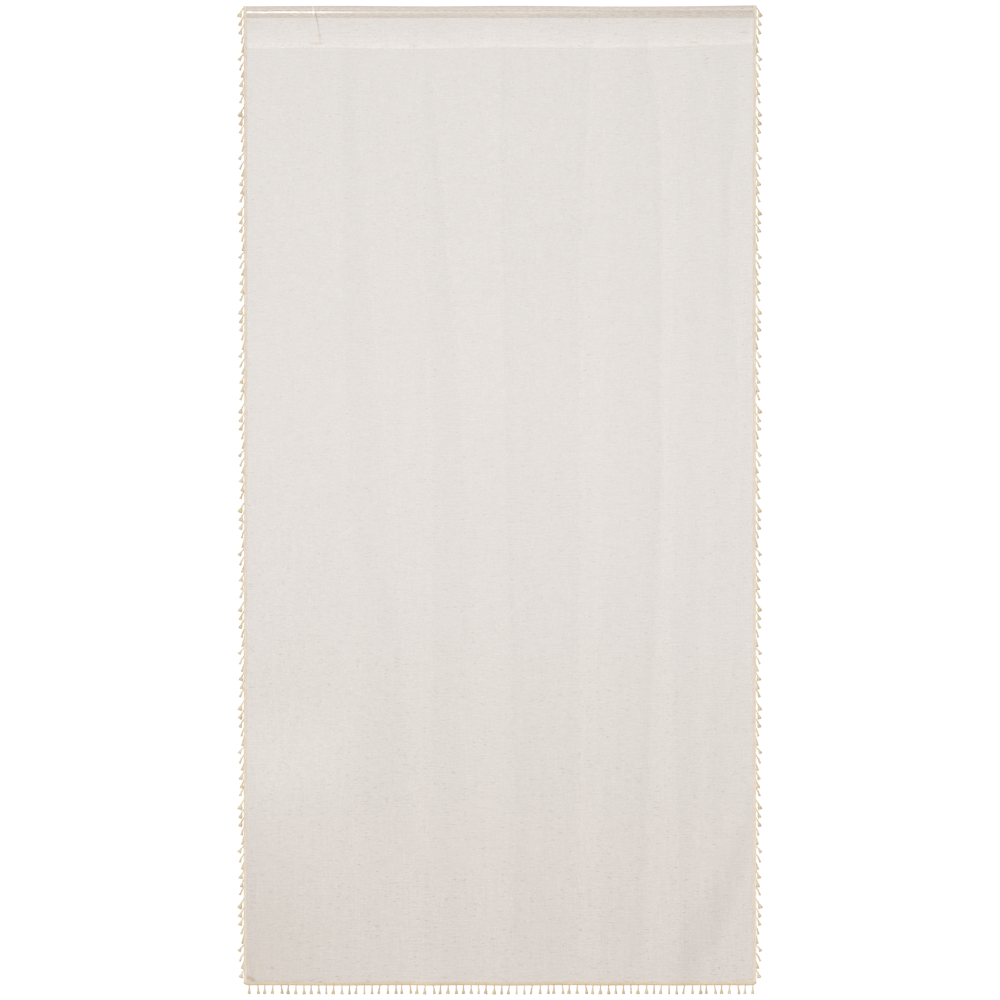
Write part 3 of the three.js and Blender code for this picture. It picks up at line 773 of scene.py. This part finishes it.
def buildClothMaterial(frontDrops, lengths):
    # Linen in tones that follow the marks, with flecks, stains and uneven yarns, more open on the rod. Its
    # pocket is painted paler, for light passing through its layers. It has painted light and a painted
    # highlight at the seam, painted shade towards the foot, and painted shade and light along some creases
    # and patches.
    material, tree, shader = newMaterial(
        "semiSheerLinen",
        {"Roughness": 0.92, "Specular IOR Level": 0.15, "Sheen Weight": 0.1, "Sheen Roughness": 0.6},
    )
    cut = addNode("ShaderNodeUVMap", tree=tree, uv_map="cut").outputs[0]
    flat = stretched(cut, (2 * cloth["edge"] * mm, lengths[-1] * mm, 1))
    mark = {
        name: addNode("ShaderNodeAttribute", tree=tree, attribute_name=name).outputs["Fac"]
        for name in ("doubled", "seamLight", "seamHighlight", "hemming", "fall", "stretched")
    }
    values = {"Vector": flat, "Weft": linen["weft"], "Warp": linen["warp"], "Grain": linen["grain"]}
    yarns = useGroup(weaveGroup, values)
    brown = fleckMask(flat, *linen["brown"], linen["brownSize"])
    golden = fleckMask(flat, *linen["golden"], linen["goldenSize"])
    faint = fleckMask(flat, *linen["faint"], mapRange(mark["fall"], 0, 1, *linen["faintSizes"]))
    # Painted shade, growing towards the foot.
    color = mixColors(mark["fall"], cloth["color"], cloth["shadedFootColor"])
    # Painted light in the pocket.
    color = mixColors(mark["doubled"], color, cloth["pocketLitColor"])
    # Painted light towards the seam, and a paler line along the stitches that is partly painted highlight.
    color = mixColors(mark["seamLight"], color, cloth["seamLitColor"])
    color = mixColors(mark["seamHighlight"], color, cloth["seamLitColor"])
    color = mixColors(mark["hemming"], color, cloth["hemColor"])
    rich = mapRange(mark["fall"], 0, 0.1, *linen["goldenStrengths"])
    color = mixColors(times(golden, rich), color, cloth["goldTint"], "MULTIPLY")
    strong = mapRange(mark["fall"], 0, 1, *linen["faintStrengths"])
    color = mixColors(times(faint, strong), color, cloth["fleckColor"])
    color = mixColors(times(brown, linen["brownStrength"]), color, cloth["fleckColor"])
    upwards = lengths[: len(frontDrops)]
    for start, end, width, share, tone in stains.values():
        ends = [
            ((across + cloth["edge"]) * mm, np.interp(-drop, -frontDrops, upwards) * mm, 0)
            for across, drop in (start, end)
        ]
        values = {"Vector": flat, "Start": ends[0], "End": ends[1], "Width": width * mm}
        color = mixColors(times(useGroup(lineGroup, values)["Mask"], share), color, stainTones[tone])
    uneven = times(yarns["Tone"], mapRange(mark["fall"], 0, 1, 1, linen["footTone"]))
    shade = plus(uneven, mapRange(noise(flat, linen["patches"], 2.0), 0, 1, *linen["patchTones"]))
    grey = addNode("ShaderNodeCombineXYZ", {"X": shade, "Y": shade, "Z": shade}).outputs[0]
    feed(mixColors(1.0, color, grey, "MULTIPLY"), shader["Base Color"])
    cover = plus(
        mapRange(mark["doubled"], 0, 1, cloth["cover"], cloth["doubleCover"]),
        mapRange(yarns["Yarn"], 0, 1, -cloth["yarnCover"], cloth["yarnCover"]),
        times(mark["hemming"], cloth["hemCover"]),
    )
    cover = combine("SUBTRACT", cover, times(mark["stretched"], cloth["cover"] - cloth["rodCover"]))
    most = cloth["streakCover"]
    streaks = mapRange(noise(flat, linen["rodStreaks"], 2.0), 0, 1, -most, most)
    cover = clamped(plus(cover, times(mark["stretched"], streaks)))
    path = addNode("ShaderNodeLightPath", tree=tree).outputs
    glow = combine("MAXIMUM", path["Is Diffuse Ray"], path["Is Glossy Ray"])
    lit = combine("MAXIMUM", glow, path["Is Shadow Ray"])
    feed(times(cover, mapRange(lit, 0, 1, 1, cloth["passing"])), shader["Alpha"])
    addBump(shader, yarns["Yarn"], linen["depth"], 0.5)
    return material


lineGroup = buildLineGroup()
weaveGroup = buildWeaveGroup()
fleckGroup = buildFleckGroup()
threadGroup = buildThreadGroup()
sheet, flatLength = buildCloth()
print("cloth made, flat length", round(flatLength))


# The rod

rod = {
    "radius": 14.0,
    "end": 632,  # half its length
    "chamfer": 1.2,
    "sides": 96,
    "color": (0.84, 0.60, 0.39, 1),
    "roughness": (0.36, 0.44),
    "brushing": (14, 900, 900),  # features in a metre
    "dullness": (9, 60, 60),
    "brushedTone": 0.9,  # of its darker streaks
    "brushedDepth": 0.00005,  # in metres
}


def buildRod():
    # A profile of distance along and radius, turned round the axis, with a point at each end.
    end, radius, chamfer = rod["end"], rod["radius"], rod["chamfer"]
    half = np.array([
        (end, radius - chamfer), (end - 0.4 * chamfer, radius - 0.3 * chamfer),
        (end - chamfer, radius), (end - 1.4 * chamfer, radius), (0, radius),
    ])
    profile = np.concatenate([half * [-1, 1], half[-2::-1]])
    place, size = profile[:, :1], profile[:, 1:]
    angle = np.linspace(0, 2 * np.pi, rod["sides"], endpoint=False)
    rings = np.stack([place + 0 * angle, -size * np.cos(angle), size * np.sin(angle)], axis=-1)
    points, faces, loops = pointedTube(rings, [[-end, 0, 0], [end, 0, 0]], place[:, 0] * mm)
    material = buildRodMaterial()
    return makePiece("curtain_rod", points, faces, loops, material, "rod", turned=False)


def buildRodMaterial():
    # Satin metal, brushed along the rod, under a glossy coat.
    material, tree, shader = newMaterial(
        "satinRod", {"Metallic": 0.2, "Coat Weight": 1.0, "Coat Roughness": 0.12, "Coat IOR": 4.0}
    )
    place = addNode("ShaderNodeTexCoord", tree=tree).outputs["Object"]
    brushed = noise(place, rod["brushing"], 2.0, 0.6)
    feed(mixColors(brushed, darker(rod["color"], rod["brushedTone"]), rod["color"]), shader["Base Color"])
    rough = mapRange(noise(place, rod["dullness"]), 0, 1, *rod["roughness"])
    feed(rough, shader["Roughness"])
    addBump(shader, brushed, rod["brushedDepth"], 0.4)
    return material


rodPiece = buildRod()
print("rod made")


# Tapes, edge cords and tassels

trim = {
    "overlap": 0.3,  # of the tape over the cloth's edge
    "width": 6.8,  # of the side tapes past the cloth's edge
    "thin": 0.36,  # half the tape's thickness between its ridges
    "cornerAcross": 15,  # reach of the hem's rounded lower corners
    "cornerUp": 7,
    "drop": 2411,  # of the hem tape's lower edge
    "half": 635,  # half the width over both side tapes
    "cordRadius": 0.9,
    "hemCordRadius": 1.2,
    "step": 9,  # between stations along a tape
    "ridges": [(0.3, 0.4), (0.34, 6.4)],  # of a tape: how much thicker, and how far from the cloth's edge
    "ridgeWidth": 0.9,
    "rim": 0.12,  # half the tape's thickness at both edges
    "profilePoints": 11,
    "off": 0.3,  # of the tape's middle over the cloth on the rod
    "arcStations": 12,
    "cornerStations": 10,
    "cornerGap": 4,  # from a corner's stations to the next one along the hem
    "past": 0.6,  # how far the side tapes go on below the cloth
    "cordSides": 8,
    "cordForward": 0.25,  # of an edge cord's middle before the tape's
    "hemCordForward": 0.3,
}

# The threads: their light colour and that of their painted shade, how many lie round a cord, how often they
# turn in a metre, how deep they are in metres, and whether each tassel has a tone of its own.
threads = {
    "creamTape": ((0.90, 0.81, 0.705, 1), (0.79, 0.66, 0.515, 1), 0, 310, 0.0003, False),
    "creamGoldTape": ((0.83, 0.735, 0.62, 1), (0.74, 0.61, 0.46, 1), 0, 310, 0.0003, False),
    "paleCord": ((0.95, 0.90, 0.81, 1), (0.85, 0.75, 0.60, 1), 1, 300, 0.0003, False),
    "goldCord": ((0.79, 0.62, 0.37, 1), (0.62, 0.43, 0.20, 1), 1, 260, 0.0004, False),
    "paleTassel": ((0.90, 0.77, 0.56, 1), (0.74, 0.57, 0.34, 1), 10, 0, 0.0003, True),
    "goldTassel": ((0.88, 0.73, 0.50, 1), (0.67, 0.48, 0.26, 1), 10, 0, 0.0003, True),
}

# One repeat of the side tassels from the top down: how far below the repeat's start a root is, how far
# out and down its foot is from it, and the skirt's width at the foot. Then one of the hem's from the
# left: how far a root is moved off the even pitch, how far its foot leans, and the skirt's width.
sideTassels = {
    "start": -12, "repeat": 245.3, "last": 2375, "root": 1.2,
    "rows": [
        (0, 10.4, 25, 11), (22.8, 9.2, 23.5, 9.5), (44.6, 9.2, 22.5, 9.5), (67.4, 5.5, 21.5, 5.5),
        (89.2, 3.4, 23, 6), (114.7, 11.6, 17, 9), (134.6, 9.9, 21, 5), (154.6, 4.2, 19, 7),
        (175.4, 7.9, 21, 10.5), (195.3, 5.5, 22, 8.5), (216.1, 9.2, 21, 6),
    ],
}
hemTassels = {
    "start": -621, "pitch": 19.1, "repeat": 377.4, "last": 628, "drop": 21.5, "root": 1.2,
    "rows": [
        (0, -0.2, 7.5), (1.2, 2.7, 7.5), (0, -0.5, 9.5), (0.9, -1, 8.5), (1.9, 3, 7), (1.4, -1.7, 8),
        (0.9, -0.7, 9), (1.3, 0.7, 9), (0.3, 0, 7.5), (0.3, 0, 8), (-0.7, 0.7, 5.5), (-0.5, -1.5, 9.5),
        (0.3, 0, 9), (0, -0.7, 6.5), (-0.8, -2.7, 8), (-1.3, -0.2, 5), (-1.3, -0.7, 7), (-0.8, -3.7, 6),
        (-0.1, -0.7, 7), (0.4, 0, 8.5),
    ],
}

# A tassel's stations: the shares of the way out and down to its foot, its radius in millimetres or, where
# the next number is 1, as a share of half the skirt, and how far every other side stands in.
tasselStations = {
    "root": (0.0, 0.0, 1.4, 0, 0),
    "cord": (0.42, 0.32, 1.3, 0, 0),
    "head": (0.6, 0.47, 2.2, 0, 0.06),
    "tie": (0.67, 0.55, 1.7, 0, 0),
    "skirt": (0.8, 0.74, 0.86, 1, 0.1),
    "foot": (1.0, 1.0, 1.08, 1, 0.18),
}
tassel = {
    "sides": 8,
    "depth": 0.8,  # from front to back, as a share of the width
    "sizes": (0.92, 1.08),  # the smallest and the largest one
    "uneven": 0.12,  # of a skirt's sides
    "ragged": (-0.5, 1.3),  # how far each side's threads reach below the foot
    "notch": 0.8,  # how much less far every other side's do
    "hollow": 1.5,  # of the foot's middle
}


def edgeAt(side, drop):
    # A side edge's place across, and its distance behind the axis on the front layer.
    edge = side * cloth["edge"] * np.ones_like(drop)
    place, height = foldsAt(edge, drop)
    radius, seam = clothRadiusAt(edge) + trim["off"], seamAt(edge)
    leaves = radius * radius / seam
    onRod = np.sqrt(np.maximum(radius * radius - drop * drop, 0))
    share = np.clip((drop - leaves) / (seam - leaves), 0, 1)
    pocket = np.sqrt(radius * radius - leaves * leaves) * (1 - share)
    return place, -np.where(drop < leaves, onRod, pocket) - smoothStep(drop, 0, seam) * height


def sidePath(side):
    # The stations of a side tape: round the rod's front by even angles, then down by even steps.
    radius = clothRadiusAt(side * cloth["edge"]) + trim["off"]
    arc = -radius * np.cos(np.linspace(0, np.pi / 2, trim["arcStations"]))
    down = np.arange(trim["step"], cloth["hemDrop"], trim["step"])
    drop = np.concatenate([arc, down, [cloth["hemDrop"] + trim["past"]]])
    place, behind = edgeAt(side, drop)
    return np.stack([place, behind, drop], axis=-1)


def hemPath():
    # The stations along the hem, closer at its corners, at the level of the cloth's lower edge.
    start = trim["half"] - trim["cornerAcross"]
    inner = np.arange(trim["cornerGap"] - start, start - trim["cornerGap"] + 1, trim["step"])
    corner = start + trim["cornerAcross"] * np.sin(np.linspace(0, np.pi / 2, trim["cornerStations"]))
    across = np.concatenate([-corner[::-1], inner, corner])
    edge = np.clip(across, -cloth["edge"], cloth["edge"])
    seamPlace = np.interp(edge, [values[-1] for values in foldAcross], [values[0] for values in foldAcross])
    height = foldsAt(seamPlace, np.full_like(edge, cloth["hemDrop"]))[1]
    return np.stack([across, -height, np.full_like(across, cloth["hemDrop"])], axis=-1)


def cornerRise(across):
    # How much higher the hem's lower edge is at its corners, which are quarters of an ellipse.
    past = np.clip((np.abs(across) - trim["half"]) / trim["cornerAcross"] + 1, 0, 1)
    return trim["cornerUp"] * (1 - np.sqrt(1 - past**2))


def tapeProfile():
    # The outline of a tape cut across, as shares of its width and half thicknesses: thin in the middle,
    # with a bell curve for the ridge where it is sewn on and a fuller one along its outer edge.
    share = (1 - np.cos(np.linspace(0, np.pi, trim["profilePoints"]))) / 2
    place = share * (trim["width"] + trim["overlap"]) - trim["overlap"]
    half = np.full_like(share, trim["thin"])
    for height, middle in trim["ridges"]:
        half += height * np.exp(-(((place - middle) / trim["ridgeWidth"]) ** 2))
    half[[0, -1]] = trim["rim"]
    return np.concatenate([share, share[::-1]]), np.concatenate([-half, half[::-1]])


def buildTape(name, path, outwards, widths, material, node):
    # The outline carried along the path. outwards is the way across the tape, and it stands up along the
    # path's normal, which is at right angles to the path and to outwards.
    way = np.gradient(path, axis=0)
    normal = np.cross(way, outwards)
    normal /= np.linalg.norm(normal, axis=1, keepdims=True)
    normal *= np.where(normal[:, 1:2] > 0, 1, -1)
    share, half = tapeProfile()
    place = share[None, :] * (widths[:, None] + trim["overlap"]) - trim["overlap"]
    points = path[:, None] + place[..., None] * outwards[:, None] + half[None, :, None] * normal[:, None]
    faces, loops = cappedTubes(points[None], distanceAlong(path) * mm)
    return makePiece(name, points, faces, loops, material, node)


def buildCord(name, path, radius, material, node):
    # A round cord carried along a path, closed by a point at each end.
    way, front, beside = ringFrames(path)
    angle = np.linspace(0, 2 * np.pi, trim["cordSides"], endpoint=False)[None, :, None]
    rings = path[:, None] + radius * (np.cos(angle) * front[:, None] + np.sin(angle) * beside[:, None])
    points, faces, loops = pointedTube(rings, path[[0, -1]], distanceAlong(path) * mm)
    return makePiece(name, points, faces, loops, material, node)


def buildTassels(name, roots, feet, skirts, behindAt, seed, material, node):
    # Many tassels in one mesh. Each is a fluted tube through its stations, with a closed foot. behindAt
    # gives the distance behind the axis for a table of drops, a row for each tassel.
    draw = np.random.default_rng(seed)
    out, fall, size, flare, flute = np.array(list(tasselStations.values()), float).T
    count, stations, sides = len(roots), len(out), tassel["sides"]
    across = roots[:, :1] + out * (feet - roots)[:, :1]
    drop = roots[:, 1:] + fall * (feet - roots)[:, 1:]
    centre = np.stack([across, behindAt(drop), drop], axis=-1)
    way, front, beside = ringFrames(centre)
    radius = np.where(flare > 0, size * skirts[:, None] / 2, size)
    radius = radius * draw.uniform(*tassel["sizes"], (count, 1))
    angle = np.linspace(0, 2 * np.pi, sides, endpoint=False)
    angle = angle + draw.uniform(0, 2 * np.pi, (count, 1, 1))
    side = np.arange(sides)
    fluted = 1 - flute[:, None] * (side % 2)
    uneven = 1 + tassel["uneven"] * flare[:, None] * draw.uniform(-1, 1, (count, 1, sides))
    size = (radius[..., None] * fluted * uneven)[..., None]
    points = (
        centre[:, :, None]
        + size * np.cos(angle)[..., None] * front[:, :, None] * tassel["depth"]
        + size * np.sin(angle)[..., None] * beside[:, :, None]
    )
    points[:, -1, :, 2] += draw.uniform(*tassel["ragged"], (count, sides)) - tassel["notch"] * (side % 2)
    foot = centre[:, -1] - way[:, -1] * tassel["hollow"]
    points = np.concatenate([points.reshape(count, -1, 3), foot[:, None]], axis=1)
    step, rim = stations * sides + 1, (stations - 1) * sides
    cap = np.stack([side + rim, (side + 1) % sides + rim, np.full(sides, step - 1)], axis=-1)
    parts = (gridFaces(stations, sides, closed=True), cap, side[None, ::-1])
    faces = [repeated(part, count, step) for part in parts]
    tubeLoops = gridLoops(np.linspace(0, 1, sides + 1), fall)
    loops = [
        np.tile(tubeLoops, (count, 1)),
        np.tile([0.5, 1.0], (count * sides * 3, 1)),
        np.zeros((count * sides, 2)),
    ]
    marks = {"tone": np.repeat(draw.uniform(0, 1, count), step)}
    return makePiece(name, points, faces, loops, material, node, marks)


def repeatedRows(settings):
    # Where each row's repeat starts, and the table's columns, once over for each repeat.
    starts, rows = np.arange(settings["start"], settings["last"], settings["repeat"]), settings["rows"]
    return np.repeat(starts, len(rows)), *np.tile(rows, (len(starts), 1)).T


def buildSideTassels(name, side, seed, material, node):
    start, down, out, fall, skirt = repeatedRows(sideTassels)
    drop = start + down
    kept = drop <= sideTassels["last"]
    drop, out, fall, skirt = drop[kept], out[kept], fall[kept], skirt[kept]
    place = edgeAt(side, drop)[0] + side * (trim["width"] - sideTassels["root"])
    roots = np.stack([place, drop], axis=-1)
    feet = np.stack([place + side * (out + sideTassels["root"]), drop + fall], axis=-1)
    behindAt = lambda drops: edgeAt(side, drops)[1]
    return buildTassels(name, roots, feet, skirt, behindAt, seed, material, node)


def buildHemTassels(name, seed, material, node):
    start, shift, lean, skirt = repeatedRows(hemTassels)
    across = start + np.arange(len(start)) % len(hemTassels["rows"]) * hemTassels["pitch"] + shift
    kept = across <= hemTassels["last"]
    across, lean, skirt = across[kept], lean[kept], skirt[kept]
    top, low = trim["drop"] - hemTassels["root"], trim["drop"] + hemTassels["drop"]
    roots = np.stack([across, np.full_like(across, top)], axis=-1)
    feet = np.stack([across + lean, np.full_like(across, low)], axis=-1)
    path = hemPath()
    behindAt = lambda drops: np.interp(across, path[:, 0], path[:, 1])[:, None] + 0 * drops
    return buildTassels(name, roots, feet, skirt, behindAt, seed, material, node)


def buildThreadMaterial(name, light, shade, around, turns, depth, toned=False):
    # Cotton thread: a light colour and a painted shade, which is strongest between two threads, mixed further
    # by streaks and, on tassels, by each one's own tone.
    material, tree, shader = newMaterial(
        name, {"Roughness": 0.85, "Specular IOR Level": 0.25, "Sheen Weight": 0.2, "Sheen Roughness": 0.5}
    )
    cut = addNode("ShaderNodeUVMap", tree=tree, uv_map="cut").outputs[0]
    strands = useGroup(threadGroup, {"Vector": cut, "Threads": around, "Turns": turns})
    share = plus(
        mapRange(strands["Height"], 0, 1, *cotton["shares"]),
        times(strands["Tone"], cotton["fibreShare"]),
        mapRange(noise(cut, cotton["slow"], 2.0), 0, 1, -cotton["slowShare"], cotton["slowShare"]),
    )
    if toned:
        tone = addNode("ShaderNodeAttribute", tree=tree, attribute_name="tone").outputs["Fac"]
        share = plus(share, mapRange(tone, 0, 1, -cotton["tasselShare"], cotton["tasselShare"]))
    feed(mixColors(clamped(share), light, shade), shader["Base Color"])
    addBump(shader, strands["Height"], depth, 0.6)
    return material


sideTape, hemTape, sideCord, hemCord, sideThread, hemThread = (
    buildThreadMaterial(name, *values) for name, values in threads.items()
)

for side, word, seed in ((-1, "left", 21), (1, "right", 22)):
    path = sidePath(side)
    outwards = np.tile([float(side), 0, 0], (len(path), 1))
    node = "trim_" + word
    widths = np.full(len(path), float(trim["width"]))
    buildTape("tape_" + word, path, outwards, widths, sideTape, node)
    cordPath = path + [side * (trim["width"] - trim["cordRadius"]), -trim["cordForward"], 0]
    buildCord("edge_cord_" + word, cordPath, trim["cordRadius"], sideCord, node)
    buildSideTassels("tassels_" + word, side, seed, sideThread, node)
    print("trim made:", word)

path = hemPath()
downwards = np.tile([0.0, 0, 1], (len(path), 1))
widths = trim["drop"] - cloth["hemDrop"] - cornerRise(path[:, 0])
buildTape("tape_bottom", path, downwards, widths, hemTape, "trim_bottom")
inside = trim["half"] - trim["hemCordRadius"]
inset = np.clip(path[:, 0], -inside, inside) - path[:, 0]
cordPlace = [inset, 0 * widths - trim["hemCordForward"], widths - trim["hemCordRadius"]]
cordPath = path + np.stack(cordPlace, axis=-1)
buildCord("edge_cord_bottom", cordPath, trim["hemCordRadius"], hemCord, "trim_bottom")
buildHemTassels("tassels_bottom", 23, hemThread, "trim_bottom")
print("trim made: bottom")


# The stitches that close the pocket

stitch = {
    "pitch": 3.8,
    "length": 2.9,
    "radius": 0.26,
    "sides": 4,
    "edge": 3,  # the distance from the cloth's sides where they start
    "shares": [-0.5, -0.25, 0.25, 0.5],  # of the length, from the middle
    "heights": [-0.3, 0.22, 0.22, -0.3],  # of the thread there over the cloth
    "color": (0.93, 0.91, 0.87, 1),
}


def buildStitches():
    # One short thread for each stitch: a tube that dips into the cloth at both ends.
    reach, share = cloth["edge"] - stitch["edge"], np.array(stitch["shares"])
    across = np.arange(-reach, reach, stitch["pitch"])
    place = across[:, None] + share * stitch["length"]
    drop = seamAt(place)
    hung, forward = layerAt(place, drop)
    centre = np.stack([hung, -forward - np.array(stitch["heights"]), drop], axis=-1)
    angle = np.linspace(0, 2 * np.pi, stitch["sides"], endpoint=False)
    ring = stitch["radius"] * np.stack([0 * angle, np.cos(angle), np.sin(angle)], axis=-1)
    points = centre[:, :, None] + ring
    faces, loops = cappedTubes(points, share)
    # The stitch thread's darker colour is painted shade between its threads.
    material = buildThreadMaterial("seamThread", stitch["color"], darker(stitch["color"], 0.85), 1, 3, 0.0001)
    return makePiece("seam_stitches", points, faces, loops, material)


stitches = buildStitches()
print("stitches made")


# Studio

studio = {
    "pixel": 2.478,  # millimetres of the curtain's plane that one pixel of the frame shows
    "framePixels": 1000,
    "middleDrop": 1208.5,  # of the frame's centre
    "distance": 12.0,  # of the camera, in metres, as are the places and sizes below
    "sensor": 36.0,
    "floorDrop": 2.75,
    "floorFront": -6.0,
    "floorBack": 2.7,
    "floorSide": 7.0,
    "floorColor": (0.93, 0.92, 0.90, 1),
    "background": 1.02,
    "skyFloor": 0.386,  # radiance straight below, at the horizon and straight above
    "skyFront": 0.216,
    "skyTop": 1.015,
    "skyFrom": 0.3,  # the height, as a share of straight up, where the bright part starts
    "skyColor": (1, 0.985, 0.97, 1),
    "sideSun": 0.437,
    "sideSunAngle": 20,  # degrees
    "sideSunFrom": (-0.853, -0.492, 0.17),
    "clipEnd": 100,
}
# Each light's place, what it points at, its width and height, and its power in watts.
lights = {
    "bright_strip": ((-0.80, -4.2, -0.35), (-0.80, 0, -0.35), (0.50, 2.9), 26),
    "soft_strip": ((-0.10, -4.2, -0.35), (-0.10, 0, -0.35), (0.90, 2.9), 14),
    "top_strip": ((0, -2.6, 3.4), (0, 0, 0), (4.0, 1.3), 18),
    "left": ((-2.2, -3.6, -0.9), (0, 0, -1.3), (1.6, 1.6), 8.7),
    "right": ((2.2, -3.6, -0.9), (0, 0, -1.3), (1.6, 1.6), 16),
    "back": ((1.5, 4.5, -0.4), (0, 0, -1.2), (2.4, 2.4), 37),
}


def buildFloor():
    # A flat floor with a slightly uneven pale finish.
    x, z = studio["floorSide"], -studio["floorDrop"]
    front, back = studio["floorFront"], studio["floorBack"]
    mesh = bpy.data.meshes.new("studio_floor")
    mesh.from_pydata([(-x, front, z), (x, front, z), (x, back, z), (-x, back, z)], [], [(0, 1, 2, 3)])
    material, tree, shader = newMaterial("paleFloor", {"Roughness": 0.8, "Specular IOR Level": 0.2})
    place = addNode("ShaderNodeTexCoord", tree=tree).outputs["Object"]
    color = mixColors(noise(place, (3, 3, 1), 3.0), darker(studio["floorColor"], 0.97), studio["floorColor"])
    feed(color, shader["Base Color"])
    mesh.materials.append(material)
    floor = addObject("studio_floor", mesh)


def pointAt(thing, place, target):
    thing.location = place
    thing.rotation_mode = "QUATERNION"
    thing.rotation_quaternion = (Vector(target) - Vector(place)).to_track_quat("-Z", "Y")


def buildLights():
    for name, (place, target, size, watts) in lights.items():
        lamp = bpy.data.lights.new(name + "_light", "AREA")
        lamp.shape = "RECTANGLE"
        lamp.size, lamp.size_y = size
        lamp.energy = watts
        pointAt(addObject(name + "_light", lamp), place, target)
    sun = bpy.data.lights.new("side_sun", "SUN")
    sun.energy = studio["sideSun"]
    sun.angle = np.radians(studio["sideSunAngle"])
    pointAt(addObject("side_sun", sun), studio["sideSunFrom"], (0, 0, 0))


def buildWorld():
    # White behind the curtain, and a softer light on it that is brighter from above.
    world = bpy.data.worlds.new("studio_world")
    bpy.context.scene.world = world
    world.use_nodes = True
    tree = world.node_tree
    tree.nodes.clear()
    toward = addNode("ShaderNodeTexCoord", tree=tree).outputs["Generated"]
    up = addNode("ShaderNodeSeparateXYZ", {0: toward}).outputs[2]
    low = mapRange(up, -1, 0, studio["skyFloor"], studio["skyFront"])
    high = mapRange(up, studio["skyFrom"], 1, 0, studio["skyTop"] - studio["skyFront"], smooth=True)
    values = {"Color": studio["skyColor"], "Strength": plus(low, high)}
    soft = addNode("ShaderNodeBackground", values)
    values = {"Color": (1, 1, 1, 1), "Strength": studio["background"]}
    white = addNode("ShaderNodeBackground", values, tree)
    seen = addNode("ShaderNodeLightPath", tree=tree).outputs["Is Camera Ray"]
    mix = addNode("ShaderNodeMixShader", {0: seen, 1: soft.outputs[0], 2: white.outputs[0]})
    addNode("ShaderNodeOutputWorld", {0: mix.outputs[0]}).is_active_output = True


def buildCamera():
    camera = bpy.data.cameras.new("front_camera")
    camera.sensor_width = studio["sensor"]
    camera.lens = studio["sensor"] * studio["distance"] / (studio["pixel"] * studio["framePixels"] * mm)
    camera.clip_end = studio["clipEnd"]
    middle = -studio["middleDrop"] * mm
    thing = addObject("front_camera", camera)
    pointAt(thing, (0, -studio["distance"], middle), (0, 0, middle))
    bpy.context.scene.camera = thing


buildFloor()
buildLights()
buildWorld()
buildCamera()
bpy.context.scene.view_settings.view_transform = "Standard"
print("studio made")
